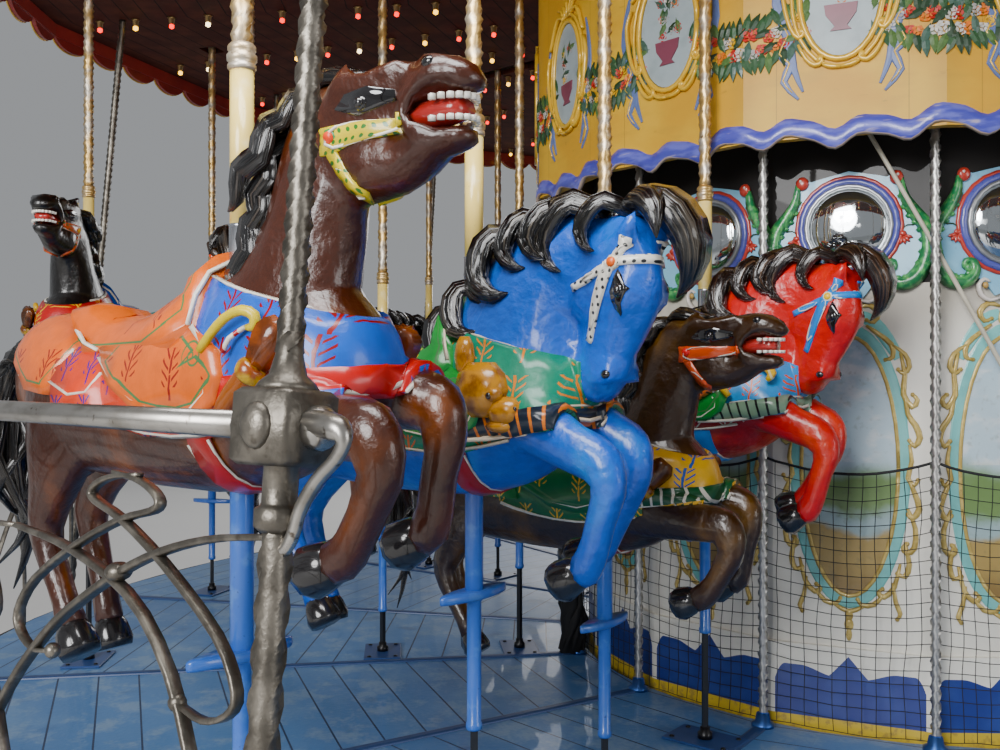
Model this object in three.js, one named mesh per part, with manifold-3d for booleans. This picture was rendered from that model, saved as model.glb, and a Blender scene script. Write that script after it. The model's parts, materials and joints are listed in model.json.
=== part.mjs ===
// A fairground carousel: jumping horses, four abreast, on a hanging platform that turns round a fixed
// centre. Millimetres, +Z up, the origin at the centre on the ground. Angles are in degrees.
import * as THREE from "three";
import { mergeVertices } from "three/addons/utils/BufferGeometryUtils.js";
import Module from "manifold-3d";

const wasm = await Module();
wasm.setup();

// Layout: ranks of horses and the bays between the posts, which stand ahead of the ranks
const RANKS = 8;
const RANK_STEP = 360 / RANKS;
const BAYS = 16;
const BAY_STEP = 360 / BAYS;
const POST_LEAD = 8.5;
const ROD_LEAD = 3.7;
const ROW_RADII = [3740, 3020, 2410, 1765];
const BETWEEN_ANGLES = [-BAY_STEP, 180 - BAY_STEP];
const QUARTERS = 4;
const SEAT_GAP = 0.3;
const ROOTED = 2;

// Heights above the ground
const FLOOR_TOP = 380;
const FLOOR_THICK = 60;
const CEILING_BOTTOM = FLOOR_TOP + 3250;
const CEILING_THICK = 30;
const SWEEP_DEPTH = 110;

// Platform
const FLOOR_INNER = 1450;
const FLOOR_OUTER = 4360;

// Outer posts, which lean in towards the top, and the rails between them
const POST_FOOT_RADIUS = 4290;
const POST_LEAN = 0.1;
const POST_WIDE = 42;
const RAIL_HEIGHT = 1230;
const RAIL_WIDE = 40;
const HANDLE_WIDE = 26;
const IRON_WIDE = 22;
const STRAP_WIDE = 18;

// Inner hanger rods with the safety net
const ROD_FOOT_RADIUS = 1503;
const ROD_HEAD_RADIUS = 1495;
const ROD_WIDE = 36;
const NET_BOTTOM = FLOOR_TOP + 60;
const NET_TOP = FLOOR_TOP + 1000;
const NET_THICK = 12;

// Fixed centre
const DRUM_RADIUS = 1400;
const DRUM_WALL = 40;
const DRUM_TOP = CEILING_BOTTOM - 25;
const BASE_THICK = 150;
const MIRROR_BAND = { bottom: FLOOR_TOP + 1620, top: FLOOR_TOP + 2150, thick: 25 };
const KICK_BOARD = { bottom: FLOOR_TOP - 120, top: FLOOR_TOP + 300, thick: 20 };
const MAST_RADIUS = 120;
const FLANGE_RADIUS = 280;
const FLANGE_THICK = 50;
const HUB_BORE = 150;

// Inner canopy board, roof and rounding boards
const CANOPY_RADIUS = 1690;
const CANOPY_THICK = 40;
const CANOPY_BOTTOM = FLOOR_TOP + 2120;
const BOARD_RADIUS = 4400;
const BOARD_THICK = 40;
const BOARD_BOTTOM = FLOOR_TOP + 3180;
const BOARD_TOP = FLOOR_TOP + 3850;
const ROOF_THICK = 30;
const ROOF_RISE = 1250;
const ROOF_MOUTH = 260;

// Horse and pole: heights above the platform at the middle of the stroke
const STROKE = 190;
const POLE_WIDE = 48;
const POLE_TOP = CEILING_BOTTOM - FLOOR_TOP + 270;
const TUBE_BORE = 27;
const TUBE_BOTTOM = 430;
const BORE_DEPTH = 510;
const SLIDE_ROD_TOP = 725;
const FOOTREST = { height: 730, wide: 260, deep: 70, thick: 14 };
const SLOT_WIDE = 110;

const group = new THREE.Group();

const MATERIALS = {
  horse: new THREE.MeshStandardMaterial({ color: 0x8a3b1d, roughness: 0.3 }),
  floor: new THREE.MeshStandardMaterial({ color: 0x2c5fa8, roughness: 0.6 }),
  iron: new THREE.MeshStandardMaterial({ color: 0x6b6258, roughness: 0.4, metalness: 0.8 }),
  net: new THREE.MeshStandardMaterial({ color: 0x15151a, roughness: 0.9 }),
  panel: new THREE.MeshStandardMaterial({ color: 0xe9e4d6, roughness: 0.5 }),
  mirrorBoard: new THREE.MeshStandardMaterial({ color: 0x9fc4e0, roughness: 0.4 }),
  canopy: new THREE.MeshStandardMaterial({ color: 0xe8c63c, roughness: 0.5 }),
  ceiling: new THREE.MeshStandardMaterial({ color: 0x4a1c12, roughness: 0.7 }),
  steel: new THREE.MeshStandardMaterial({ color: 0x7a7d80, roughness: 0.5, metalness: 0.9 }),
  board: new THREE.MeshStandardMaterial({ color: 0x7a1a1c, roughness: 0.5 }),
  roof: new THREE.MeshStandardMaterial({ color: 0xc9342c, roughness: 0.9 }),
  gilt: new THREE.MeshStandardMaterial({ color: 0xd6a53a, roughness: 0.3, metalness: 0.9 }),
};

function radians(degrees) {
  return THREE.MathUtils.degToRad(degrees);
}

// A point at a radius and an angle round the centre
function polar(radius, angle, z = 0) {
  return new THREE.Vector3(radius * Math.cos(radians(angle)), radius * Math.sin(radians(angle)), z);
}

// A closed geometry as a manifold solid
function solid(geometry) {
  const bare = geometry.clone();
  bare.deleteAttribute("normal");
  bare.deleteAttribute("uv");
  const merged = mergeVertices(bare, 1e-3);
  return new wasm.Manifold(
    new wasm.Mesh({
      numProp: 3,
      vertProperties: merged.attributes.position.array,
      triVerts: new Uint32Array(merged.index.array),
    }),
  );
}

// A manifold solid as a geometry
function geometryOf(made) {
  const mesh = made.getMesh();
  const geometry = new THREE.BufferGeometry();
  geometry.setAttribute("position", new THREE.BufferAttribute(mesh.vertProperties, 3));
  geometry.setIndex(new THREE.BufferAttribute(mesh.triVerts, 1));
  return geometry;
}

function joined(geometries) {
  return geometryOf(geometries.map(solid).reduce((whole, next) => whole.add(next)));
}

function addPiece(name, geometry, material) {
  const mesh = new THREE.Mesh(geometry, material);
  mesh.name = name;
  group.add(mesh);
  return mesh;
}

// A straight bar of few sides between two points
function bar(from, to, wide, sides = 6) {
  const along = new THREE.Vector3().subVectors(to, from);
  const geometry = new THREE.CylinderGeometry(wide / 2, wide / 2, along.length(), sides);
  const turn = new THREE.Quaternion().setFromUnitVectors(
    new THREE.Vector3(0, 1, 0),
    along.clone().normalize(),
  );
  const middle = new THREE.Vector3().addVectors(from, to).multiplyScalar(0.5);
  return geometry.applyQuaternion(turn).translate(middle.x, middle.y, middle.z);
}

// A bar of few sides bent along a curve
function bentBar(points, wide, steps, sides) {
  const section = new THREE.Shape(manySided(wide / 2, sides, 45));
  const path = new THREE.CatmullRomCurve3(points);
  return new THREE.ExtrudeGeometry(section, { steps, bevelEnabled: false, extrudePath: path });
}

// A box by its sizes and the middle of its bottom face
function block(long, wide, high, at) {
  return new THREE.BoxGeometry(long, wide, high).translate(at.x, at.y, at.z + high / 2);
}

// A body of revolution about the Z axis, its profile given as [radius, height] pairs
function turned(profile, sides, firstCorner = 0) {
  const points = profile.map(([radius, height]) => new THREE.Vector2(radius, height));
  const start = radians(firstCorner + 90);
  return new THREE.LatheGeometry(points, sides, start).rotateX(Math.PI / 2);
}

// A round or many-sided wall
function ringWall(inner, outer, bottom, top, sides, firstCorner) {
  const profile = [
    [inner, bottom],
    [outer, bottom],
    [outer, top],
    [inner, top],
    [inner, bottom],
  ];
  return turned(profile, sides, firstCorner);
}

// A rounded limb through stations, each with a centre and its half depth and half width
function limb(stations, sides) {
  const spans = stations.length - 1;
  const geometry = new THREE.CylinderGeometry(1, 1, spans, sides, spans);
  const corners = geometry.attributes.position;
  for (let i = 0; i < corners.count; i += 1) {
    const place = Math.round(spans / 2 - corners.getY(i));
    const [x, y, z, deep, wide] = stations[place];
    const before = stations[Math.max(place - 1, 0)];
    const after = stations[Math.min(place + 1, spans)];
    const along = new THREE.Vector2(after[0] - before[0], after[2] - before[2]).normalize();
    const out = corners.getX(i) * deep;
    corners.setXYZ(i, x - along.y * out, y - corners.getZ(i) * wide, z + along.x * out);
  }
  return geometry;
}

// Horse, made facing +X with the pole on the Z axis and the platform at zero. A trunk runs from
// the tip of the tail through the barrel to the muzzle, with the head thrown up or bowed.
const TAIL_AND_BARREL = [
  [-925, 0, 1010, 26, 30],
  [-895, 0, 1230, 55, 50],
  [-750, 0, 1265, 150, 135],
  [-400, 0, 1225, 165, 145],
  [-60, 0, 1245, 185, 150],
  [130, 0, 1320, 205, 135],
];
const NECKS = {
  high: [
    [190, 0, 1490, 150, 85],
    [240, 0, 1710, 90, 60],
    [385, 0, 1725, 98, 58],
    [620, 0, 1745, 52, 42],
  ],
  bowed: [
    [195, 0, 1510, 150, 85],
    [310, 0, 1635, 95, 60],
    [445, 0, 1620, 90, 58],
    [390, 0, 1370, 60, 48],
  ],
};
const FORE_LEGS = {
  high: [
    [200, 1290, 90, 52],
    [480, 1230, 45, 38],
    [350, 940, 38, 34],
  ],
  bowed: [
    [200, 1280, 90, 52],
    [455, 1180, 45, 38],
    [330, 900, 38, 34],
  ],
};
const HIND_LEG = [
  [-700, 1240, 120, 60],
  [-770, 920, 48, 38],
  [-640, 645, 38, 34],
];
const LEG_SPREAD = 90;
const LEG_STRIDES = { fore: -20, hind: 45 };

function legs(head) {
  const made = [];
  for (const side of [-1, 1]) {
    const y = side * LEG_SPREAD;
    const fore = side * LEG_STRIDES.fore;
    const hind = side * LEG_STRIDES.hind;
    made.push(limb(FORE_LEGS[head].map(([x, z, deep, wide]) => [x + fore, y, z, deep, wide]), 3));
    made.push(limb(HIND_LEG.map(([x, z, deep, wide]) => [x - hind, y, z, deep, wide]), 3));
  }
  return made;
}

function horseBody({ head, size, drop }) {
  const parts = [limb([...TAIL_AND_BARREL, ...NECKS[head]], 6), ...legs(head)];
  return parts.map((part) => part.scale(size, size, size).translate(0, 0, -drop));
}

function pole(bottom, top, wide) {
  return bar(new THREE.Vector3(0, 0, bottom), new THREE.Vector3(0, 0, top), wide, 4);
}

function footrest() {
  return block(FOOTREST.deep, FOOTREST.wide, FOOTREST.thick, new THREE.Vector3(0, 0, FOOTREST.height));
}

// A jumping horse with its hanging pole, whose lower tube slides on the platform's rod
function jumpingHorse(form) {
  const whole = solid(joined([...horseBody(form), pole(TUBE_BOTTOM, POLE_TOP, POLE_WIDE), footrest()]));
  const bore = solid(pole(TUBE_BOTTOM - ROOTED, TUBE_BOTTOM + BORE_DEPTH, TUBE_BORE));
  return geometryOf(whole.subtract(bore));
}

// How many horses stand abreast in each rank, from the outside: two opposite ranks have no inner ones
const ABREAST = [4, 4, 2, 4, 4, 4, 2, 4];

// The height of each horse at rest, as a share of the stroke, by rank and row
const REST_PHASES = [
  [1, 1, -1, 0],
  [0, 0, -1, 0],
];
const BETWEEN_PHASE = -1;

// The second, third and fourth rows hang lower on their poles, and the third row's horses are smaller
const ROW_FORMS = [
  { head: "high", size: 1, drop: 0 },
  { head: "bowed", size: 1, drop: 70 },
  { head: "high", size: 0.92, drop: 30 },
  { head: "bowed", size: 1, drop: 70 },
];

function onCarousel(geometry, radius, angle, rise = 0) {
  const at = polar(radius, angle, FLOOR_TOP + rise);
  return geometry.clone().rotateZ(radians(angle + 90)).translate(at.x, at.y, at.z);
}

function addJumpingHorses() {
  const horses = ROW_FORMS.map(jumpingHorse);
  for (let rank = 0; rank < RANKS; rank += 1) {
    ROW_RADII.slice(0, ABREAST[rank]).forEach((radius, row) => {
      const rise = REST_PHASES[rank % 2][row] * STROKE;
      const name = `horse_rank${rank + 1}_row${row + 1}`;
      const placed = onCarousel(horses[row], radius, rank * RANK_STEP, rise);
      addPiece(name, placed, MATERIALS.horse);
    });
  }
  BETWEEN_ANGLES.forEach((angle, i) => {
    const placed = onCarousel(horses[0], ROW_RADII[0], angle, BETWEEN_PHASE * STROKE);
    addPiece(`horse_between_${i + 1}`, placed, MATERIALS.horse);
  });
}

// One quarter of the platform from a given angle on, with the slide rods of the horses over it
function platformQuarter(first, rodPlaces) {
  const span = 360 / QUARTERS;
  const steps = 8;
  const edge = (radius) =>
    Array.from({ length: steps + 1 }, (_, i) => {
      const trim = THREE.MathUtils.radToDeg(SEAT_GAP / radius);
      const at = polar(radius, first + trim + ((span - 2 * trim) * i) / steps);
      return new THREE.Vector2(at.x, at.y);
    });
  const outline = new THREE.Shape([...edge(FLOOR_OUTER), ...edge(FLOOR_INNER).reverse()]);
  const boards = new THREE.ExtrudeGeometry(outline, { depth: FLOOR_THICK, bevelEnabled: false });
  boards.translate(0, 0, FLOOR_TOP - FLOOR_THICK);
  const slideRod = pole(-ROOTED, SLIDE_ROD_TOP, TUBE_BORE - 2 * Math.SQRT2 * SEAT_GAP);
  return joined([boards, ...rodPlaces.map(([radius, angle]) => onCarousel(slideRod, radius, angle))]);
}

function addPlatform() {
  const span = 360 / QUARTERS;
  const seam = -1.5 * BAY_STEP;
  const places = BETWEEN_ANGLES.map((angle) => [ROW_RADII[0], angle]);
  for (let rank = 0; rank < RANKS; rank += 1) {
    const radii = ROW_RADII.slice(0, ABREAST[rank]);
    places.push(...radii.map((radius) => [radius, rank * RANK_STEP]));
  }
  for (let quarter = 0; quarter < QUARTERS; quarter += 1) {
    const first = seam + quarter * span;
    const above = places.filter(([, angle]) => angle > first && angle < first + span);
    addPiece(`platform_quarter_${quarter + 1}`, platformQuarter(first, above), MATERIALS.floor);
  }
}

// The axis of an outer post at a height above the platform
function postAt(angle, height) {
  return polar(POST_FOOT_RADIUS - POST_LEAN * height, angle, FLOOR_TOP + height);
}

// The wrought iron of half a bay, as shares of the bay and heights above the platform: a bow that
// rises from the post's foot, a bow that falls from its collar, and a pair of curled straps
const RISING_BOW = [
  [0.005, 260],
  [0.1, 754],
  [0.2, 931],
  [0.35, 1000],
  [0.503, 1020],
];
const FALLING_BOW = [
  [0, 1084],
  [0.1, 1063],
  [0.2, 1018],
  [0.3, 945],
  [0.4, 845],
  [0.5, 680],
  [0.6, 400],
  [0.65, 60],
];
const STRAP = [
  [0.17, 815],
  [0.215, 860],
  [0.18, 935],
  [0.085, 1015],
  [0, 1068],
  [-0.057, 1090],
  [-0.052, 1113],
  [0.025, 1141],
];
const STRAP_MIDDLE = 0.255;

// A grab handle on the boarding side of a post, as lengths from the post and heights
const GRAB_HANDLE = [
  [0, 1230],
  [75, 1228],
  [98, 1190],
  [40, 1110],
  [0, 1030],
];

function straight(left, right, share, height) {
  return new THREE.Vector3().lerpVectors(postAt(left, height), postAt(right, height), share);
}

function halfBay(near, far) {
  const along = ([share, height]) => straight(near, far, share, height);
  const chord = postAt(near, 0).distanceTo(postAt(far, 0));
  const pieces = [
    bentBar(RISING_BOW.map(along), IRON_WIDE, 4, 3),
    bentBar(FALLING_BOW.map(along), IRON_WIDE, 5, 3),
    bentBar(GRAB_HANDLE.map(([out, height]) => along([-out / chord, height])), HANDLE_WIDE, 4, 4),
  ];
  for (const side of [-1, 1]) {
    const strap = STRAP.map(([offset, height]) => along([STRAP_MIDDLE + side * offset, height]));
    pieces.push(bentBar(strap, STRAP_WIDE, 7, 3));
  }
  return pieces;
}

// Two outer posts with the hand rail, the grab handles and the wrought iron between them
function railingBay() {
  const right = POST_LEAD;
  const left = right - BAY_STEP;
  const foot = (POST_WIDE / 2) * POST_LEAN;
  const top = CEILING_BOTTOM - FLOOR_TOP - foot;
  const pieces = [];
  for (const angle of [left, right]) {
    pieces.push(bar(postAt(angle, foot), postAt(angle, top), POST_WIDE, 4));
  }
  pieces.push(bar(postAt(left, RAIL_HEIGHT), postAt(right, RAIL_HEIGHT), RAIL_WIDE, 4));
  pieces.push(...halfBay(left, right), ...halfBay(right, left));
  return joined(pieces);
}

function addRailings() {
  const bay = railingBay();
  for (let rank = 0; rank < RANKS; rank += 1) {
    const placed = bay.clone().rotateZ(radians(rank * RANK_STEP));
    addPiece(`posts_and_railing_${rank + 1}`, placed, MATERIALS.iron);
  }
}

// Inner hanger rods in a ring, with the net that hangs on them
function innerRods() {
  const rods = [];
  for (let bay = 0; bay < BAYS; bay += 1) {
    const angle = ROD_LEAD + bay * BAY_STEP;
    const foot = polar(ROD_FOOT_RADIUS, angle, FLOOR_TOP + 2);
    const head = polar(ROD_HEAD_RADIUS, angle, CEILING_BOTTOM - 1);
    rods.push(bar(foot, head, ROD_WIDE, 4));
  }
  const inner = ROD_FOOT_RADIUS - NET_THICK;
  return joined([ringWall(inner, ROD_FOOT_RADIUS, NET_BOTTOM, NET_TOP, BAYS, ROD_LEAD), ...rods]);
}

function flatRing(outer, holes, thick, bottom) {
  const shape = new THREE.Shape(outer);
  holes.forEach((hole) => shape.holes.push(new THREE.Path(hole)));
  return new THREE.ExtrudeGeometry(shape, { depth: thick, bevelEnabled: false }).translate(0, 0, bottom);
}

function manySided(radius, sides, firstCorner) {
  return Array.from({ length: sides }, (_, i) => {
    const at = polar(radius, firstCorner + (360 * i) / sides);
    return new THREE.Vector2(at.x, at.y);
  });
}

// Ceiling boards with a radial slot above each rank, through which the poles rise
function slotOutline(innerRow, outerRow, angle) {
  const inner = innerRow - SLOT_WIDE / 2;
  const outer = outerRow + SLOT_WIDE / 2;
  return [
    [inner, -SLOT_WIDE / 2],
    [outer, -SLOT_WIDE / 2],
    [outer, SLOT_WIDE / 2],
    [inner, SLOT_WIDE / 2],
  ].map(([x, y]) => new THREE.Vector2(x, y).rotateAround(new THREE.Vector2(), radians(angle)));
}

function ceiling() {
  const slots = BETWEEN_ANGLES.map((angle) => slotOutline(ROW_RADII[0], ROW_RADII[0], angle));
  for (let rank = 0; rank < RANKS; rank += 1) {
    slots.push(slotOutline(ROW_RADII.at(-1), ROW_RADII[0], rank * RANK_STEP));
  }
  const rim = BOARD_RADIUS - BOARD_THICK - 2 * SEAT_GAP;
  const holes = [manySided(HUB_BORE, BAYS, POST_LEAD), ...slots];
  return flatRing(manySided(rim, BAYS, POST_LEAD), holes, CEILING_THICK, CEILING_BOTTOM);
}

// Sixteen sweeps out of one hub
function sweeps() {
  const hub = 330;
  const half = 35;
  const outline = [];
  for (let bay = 0; bay < BAYS; bay += 1) {
    const angle = radians(POST_LEAD + bay * BAY_STEP);
    const tip = BOARD_RADIUS - BOARD_THICK - 10;
    for (const [x, y] of [
      [hub, -half],
      [tip, -half],
      [tip, half],
      [hub, half],
    ]) {
      outline.push(new THREE.Vector2(x, y).rotateAround(new THREE.Vector2(), angle));
    }
  }
  const bottom = CEILING_BOTTOM + CEILING_THICK + SEAT_GAP;
  return flatRing(outline, [manySided(HUB_BORE, BAYS, POST_LEAD)], SWEEP_DEPTH, bottom);
}

function addTop() {
  addPiece("ceiling", ceiling(), MATERIALS.ceiling);
  addPiece("sweeps", sweeps(), MATERIALS.steel);
  const inner = BOARD_RADIUS - BOARD_THICK;
  const boards = ringWall(inner, BOARD_RADIUS, BOARD_BOTTOM, BOARD_TOP, BAYS, POST_LEAD);
  addPiece("rounding_boards", boards, MATERIALS.board);
  const eaves = BOARD_TOP + SEAT_GAP;
  const roofTop = eaves + ROOF_RISE;
  const roofProfile = [
    [BOARD_RADIUS - 60, eaves],
    [BOARD_RADIUS, eaves],
    [BOARD_RADIUS, eaves + ROOF_THICK],
    [ROOF_MOUTH, roofTop + ROOF_THICK],
    [ROOF_MOUTH, roofTop],
    [BOARD_RADIUS - 60, eaves],
  ];
  addPiece("roof", turned(roofProfile, BAYS, POST_LEAD), MATERIALS.roof);
  const capBottom = roofTop + ROOF_THICK + SEAT_GAP;
  const finialProfile = [
    [0, capBottom],
    [ROOF_MOUTH + 60, capBottom],
    [ROOF_MOUTH + 60, capBottom + 60],
    [90, capBottom + 160],
    [60, capBottom + 300],
    [150, capBottom + 420],
    [60, capBottom + 540],
    [0, capBottom + 760],
  ];
  addPiece("finial", turned(finialProfile, BAYS / 2, POST_LEAD), MATERIALS.gilt);
}

function addCentre() {
  const drumInner = DRUM_RADIUS - DRUM_WALL;
  addPiece(
    "centre_panels",
    ringWall(drumInner, DRUM_RADIUS, 0, DRUM_TOP, BAYS, ROD_LEAD),
    MATERIALS.panel,
  );
  const baseProfile = [
    [0, 0],
    [drumInner - SEAT_GAP, 0],
    [drumInner - SEAT_GAP, BASE_THICK],
    [0, BASE_THICK],
  ];
  addPiece("centre_base", turned(baseProfile, BAYS, ROD_LEAD), MATERIALS.steel);
  const onDrum = DRUM_RADIUS + SEAT_GAP;
  for (const [name, band, material] of [
    ["mirror_boards", MIRROR_BAND, MATERIALS.mirrorBoard],
    ["kick_board", KICK_BOARD, MATERIALS.canopy],
  ]) {
    const ring = ringWall(onDrum, onDrum + band.thick, band.bottom, band.top, BAYS, ROD_LEAD);
    addPiece(name, ring, material);
  }
  const flangeTop = CEILING_BOTTOM - SEAT_GAP;
  const mastProfile = [
    [0, BASE_THICK + SEAT_GAP],
    [MAST_RADIUS, BASE_THICK + SEAT_GAP],
    [MAST_RADIUS, flangeTop - FLANGE_THICK],
    [FLANGE_RADIUS, flangeTop - FLANGE_THICK],
    [FLANGE_RADIUS, flangeTop],
    [MAST_RADIUS, flangeTop],
    [MAST_RADIUS, flangeTop + 700],
    [0, flangeTop + 700],
  ];
  addPiece("mast", turned(mastProfile, BAYS / 2, POST_LEAD), MATERIALS.steel);
}

function addCanopy() {
  const inner = CANOPY_RADIUS - CANOPY_THICK;
  const top = CEILING_BOTTOM - SEAT_GAP;
  addPiece(
    "canopy_board",
    ringWall(inner, CANOPY_RADIUS, CANOPY_BOTTOM, top, BAYS, ROD_LEAD),
    MATERIALS.canopy,
  );
}

addCentre();
addPlatform();
addRailings();
addPiece("inner_rods_and_net", innerRods(), MATERIALS.net);
addCanopy();
addTop();
addJumpingHorses();

export default group;
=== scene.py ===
"""Looks of the fairground carousel: carved and painted horses, twisted posts, a painted centre and a boarded
floor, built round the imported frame. Metres, +Z up, the origin at the centre on the ground."""
import math
from math import cos, pi, radians, sin

import bmesh
import bpy
import numpy as np
from mathutils import Matrix, Vector, noise
from mathutils.bvhtree import BVHTree
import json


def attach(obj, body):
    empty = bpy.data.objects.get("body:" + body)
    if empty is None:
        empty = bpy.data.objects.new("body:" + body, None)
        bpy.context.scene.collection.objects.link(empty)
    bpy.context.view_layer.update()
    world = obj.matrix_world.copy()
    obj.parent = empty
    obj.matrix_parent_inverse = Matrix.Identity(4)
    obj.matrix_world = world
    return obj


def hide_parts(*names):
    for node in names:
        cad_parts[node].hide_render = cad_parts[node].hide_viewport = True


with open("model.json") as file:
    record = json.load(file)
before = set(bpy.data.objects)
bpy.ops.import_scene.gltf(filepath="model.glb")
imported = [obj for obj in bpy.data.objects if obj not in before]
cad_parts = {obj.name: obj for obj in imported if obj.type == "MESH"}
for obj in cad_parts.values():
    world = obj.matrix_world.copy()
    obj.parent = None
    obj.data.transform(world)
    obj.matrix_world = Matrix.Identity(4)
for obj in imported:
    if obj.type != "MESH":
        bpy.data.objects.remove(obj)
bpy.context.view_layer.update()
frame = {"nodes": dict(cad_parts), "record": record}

# Layout, as in the frame
RANKS = 8
BAYS = 16
BAY_STEP = 22.5
RANK_STEP = 45
POST_LEAD = 8.5
ROD_LEAD = 3.7
ROW_RADII = (3.74, 3.02, 2.41, 1.765)
BETWEEN_ANGLES = (-22.5, 157.5)
FLOOR_TOP = 0.38
CEILING_BOTTOM = 3.63
STROKE = 0.19
REST_PHASES = ((1, 1, -1, 0), (0, 0, -1, 0))
ABREAST = (4, 4, 2, 4, 4, 4, 2, 4)
POST_FOOT_RADIUS = 4.29
POST_LEAN = 0.1
RAIL_HEIGHT = 1.23
ROD_FOOT_RADIUS = 1.503
ROD_HEAD_RADIUS = 1.495
DRUM_RADIUS = 1.4
CANOPY_RADIUS = 1.69
CANOPY_BOTTOM = 2.5
BOARD_RADIUS = 4.4


def mm(value):
    """Metres from millimetres, for a number or nested tuples of them. Shares are given in thousandths."""
    return tuple(mm(v) for v in value) if isinstance(value, tuple) else value / 1000


# Shader maths


class Shade:
    """A number that varies over a surface. Arithmetic on it adds the Math nodes."""

    def __init__(self, finish, socket):
        self.finish = finish
        self.socket = socket

    def math(self, operation, *values):
        node = self.finish.node("ShaderNodeMath", {"operation": operation}, values or (self,))
        return Shade(self.finish, node.outputs[0])

    def __neg__(self):
        return self * -1

    def __abs__(self):
        return self.math("ABSOLUTE")

    def highest(self, other):
        return self.math("MAXIMUM", self, other)

    def near(self, centre, half):
        return abs(self - centre) < half

    def between(self, low, high):
        return (self > low) * (self < high)

    def eased(self, low, high):
        values = {"Value": self, "From Min": low, "From Max": high}
        node = self.finish.node("ShaderNodeMapRange", {"interpolation_type": "SMOOTHSTEP"}, values)
        return Shade(self.finish, node.outputs[0])


for sign, operation in {
    "add": "ADD", "sub": "SUBTRACT", "mul": "MULTIPLY", "truediv": "DIVIDE", "mod": "FLOORED_MODULO",
    "lt": "LESS_THAN", "gt": "GREATER_THAN",
}.items():
    setattr(Shade, f"__{sign}__", lambda self, other, kind=operation: self.math(kind, self, other))
    if sign not in ("lt", "gt"):
        setattr(Shade, f"__r{sign}__", lambda self, other, kind=operation: self.math(kind, other, self))


class Finish:
    """A painted, metal or cloth finish, built up from nodes. Patterns lie on Object coordinates or on a stored
    attribute."""

    laid_on = None

    def __init__(self, name, color, roughness, metallic=0.0, **sockets):
        self.material = bpy.data.materials.new(name)
        self.material.use_nodes = True
        self.tree = self.material.node_tree
        self.shader = self.tree.nodes["Principled BSDF"]
        self.color = color
        sockets.update({"Base Color": (*color, 1), "Roughness": roughness, "Metallic": metallic})
        for socket, value in sockets.items():
            self.shader.inputs[socket.replace("_", " ")].default_value = value

    def node(self, kind, settings=None, values=()):
        return added_node(self.tree, kind, settings, values)

    def link(self, output, socket):
        self.tree.links.new(output, self.shader.inputs[socket])

    def position(self):
        if self.laid_on:
            return self.stored(self.laid_on, "Vector")
        return self.node("ShaderNodeTexCoord").outputs["Object"]

    def stored(self, attribute, output="Color"):
        return self.node("ShaderNodeAttribute", {"attribute_name": attribute}).outputs[output]

    def axes(self):
        split = self.node("ShaderNodeSeparateXYZ", None, [self.position()])
        return [Shade(self, output) for output in split.outputs]

    def polar(self):
        """Radius, angle in degrees and height round the carousel's axis."""
        x, y, z = self.axes()
        return (x * x + y * y).math("SQRT"), y.math("ARCTAN2", y, x) * (180 / pi), z

    def noise(self, scale, detail=3.0, stretch=(1, 1, 1)):
        place = self.position()
        if stretch != (1, 1, 1):
            place = self.node("ShaderNodeMapping", None, {"Vector": place, "Scale": stretch}).outputs[0]
        made = self.node("ShaderNodeTexNoise", None, {"Vector": place, "Scale": scale, "Detail": detail})
        return Shade(self, made.outputs["Fac"])

    def mix(self, share, below, above):
        """Colour above over colour below, by a share from 0 to 1."""
        values = {0: share}
        for index, color in ((6, below), (7, above)):
            values[index] = (*color, 1) if isinstance(color, tuple) else color
        return self.node("ShaderNodeMix", {"data_type": "RGBA"}, values).outputs[2]

    def shaded(self, color, share):
        """The colour with its value scaled by a share, which may vary."""
        return self.node("ShaderNodeHueSaturation", None, {"Color": color, "Value": share}).outputs[0]

    def paint(self, *layers):
        """Lays colours over the ground, each a pair of mask and colour, and links the result."""
        color = self.color
        for mask, above in layers:
            color = self.mix(mask, color, above)
        self.link(color, "Base Color")

    def gloss(self, roughness):
        self.link(roughness.socket, "Roughness")

    def relief(self, height, depth):
        """Bump from a height of 0 to 1 over a depth in metres."""
        self.link(self.node("ShaderNodeBump", None, {"Height": height, "Distance": depth}).outputs[0], "Normal")


def added_node(tree, kind, settings, values):
    """A new node with its settings and the values or links of its sockets."""
    node = tree.nodes.new(kind)
    for setting, value in (settings or {}).items():
        setattr(node, setting, value)
    for key, value in values.items() if isinstance(values, dict) else enumerate(values):
        value = value.socket if isinstance(value, Shade) else value
        if isinstance(value, bpy.types.NodeSocket):
            tree.links.new(value, node.inputs[key])
        else:
            node.inputs[key].default_value = value
    return node


def worn_finish(name, color, roughness, metallic, tone, over, fleck=None, depth=0.0, gloss=None, **sockets):
    """A finish with a soft tone in a second colour, flecks of a third one, relief and gloss that follow the tone."""
    made = Finish(name, color, roughness, metallic, **sockets)
    tone = made.noise(*tone)
    low, high, share, above = over
    layers = [(tone.eased(low, high) * share, above)]
    if fleck:
        scale, detail, low, high, share, above, *stretch = fleck
        layers.append((made.noise(scale, detail, *stretch).eased(low, high) * share, above))
    made.paint(*layers)
    if depth:
        made.relief(tone, depth)
    if gloss:
        made.gloss(gloss[0] + tone * gloss[1])
    return made.material


def plain_finish(name, color, roughness, metallic=0.0, **sockets):
    """A plain painted finish with a little wear."""
    darker = tuple(c * 0.62 for c in color)
    lighter = tuple(min(1.0, c * 1.2 + 0.01) for c in color)
    over, fleck = (0.45, 0.75, 0.5, darker), (55, 4, 0.6, 0.8, 0.4, lighter)
    return worn_finish(name, color, roughness, metallic, (12, 4), over, fleck, **sockets)


# Mesh building


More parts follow.
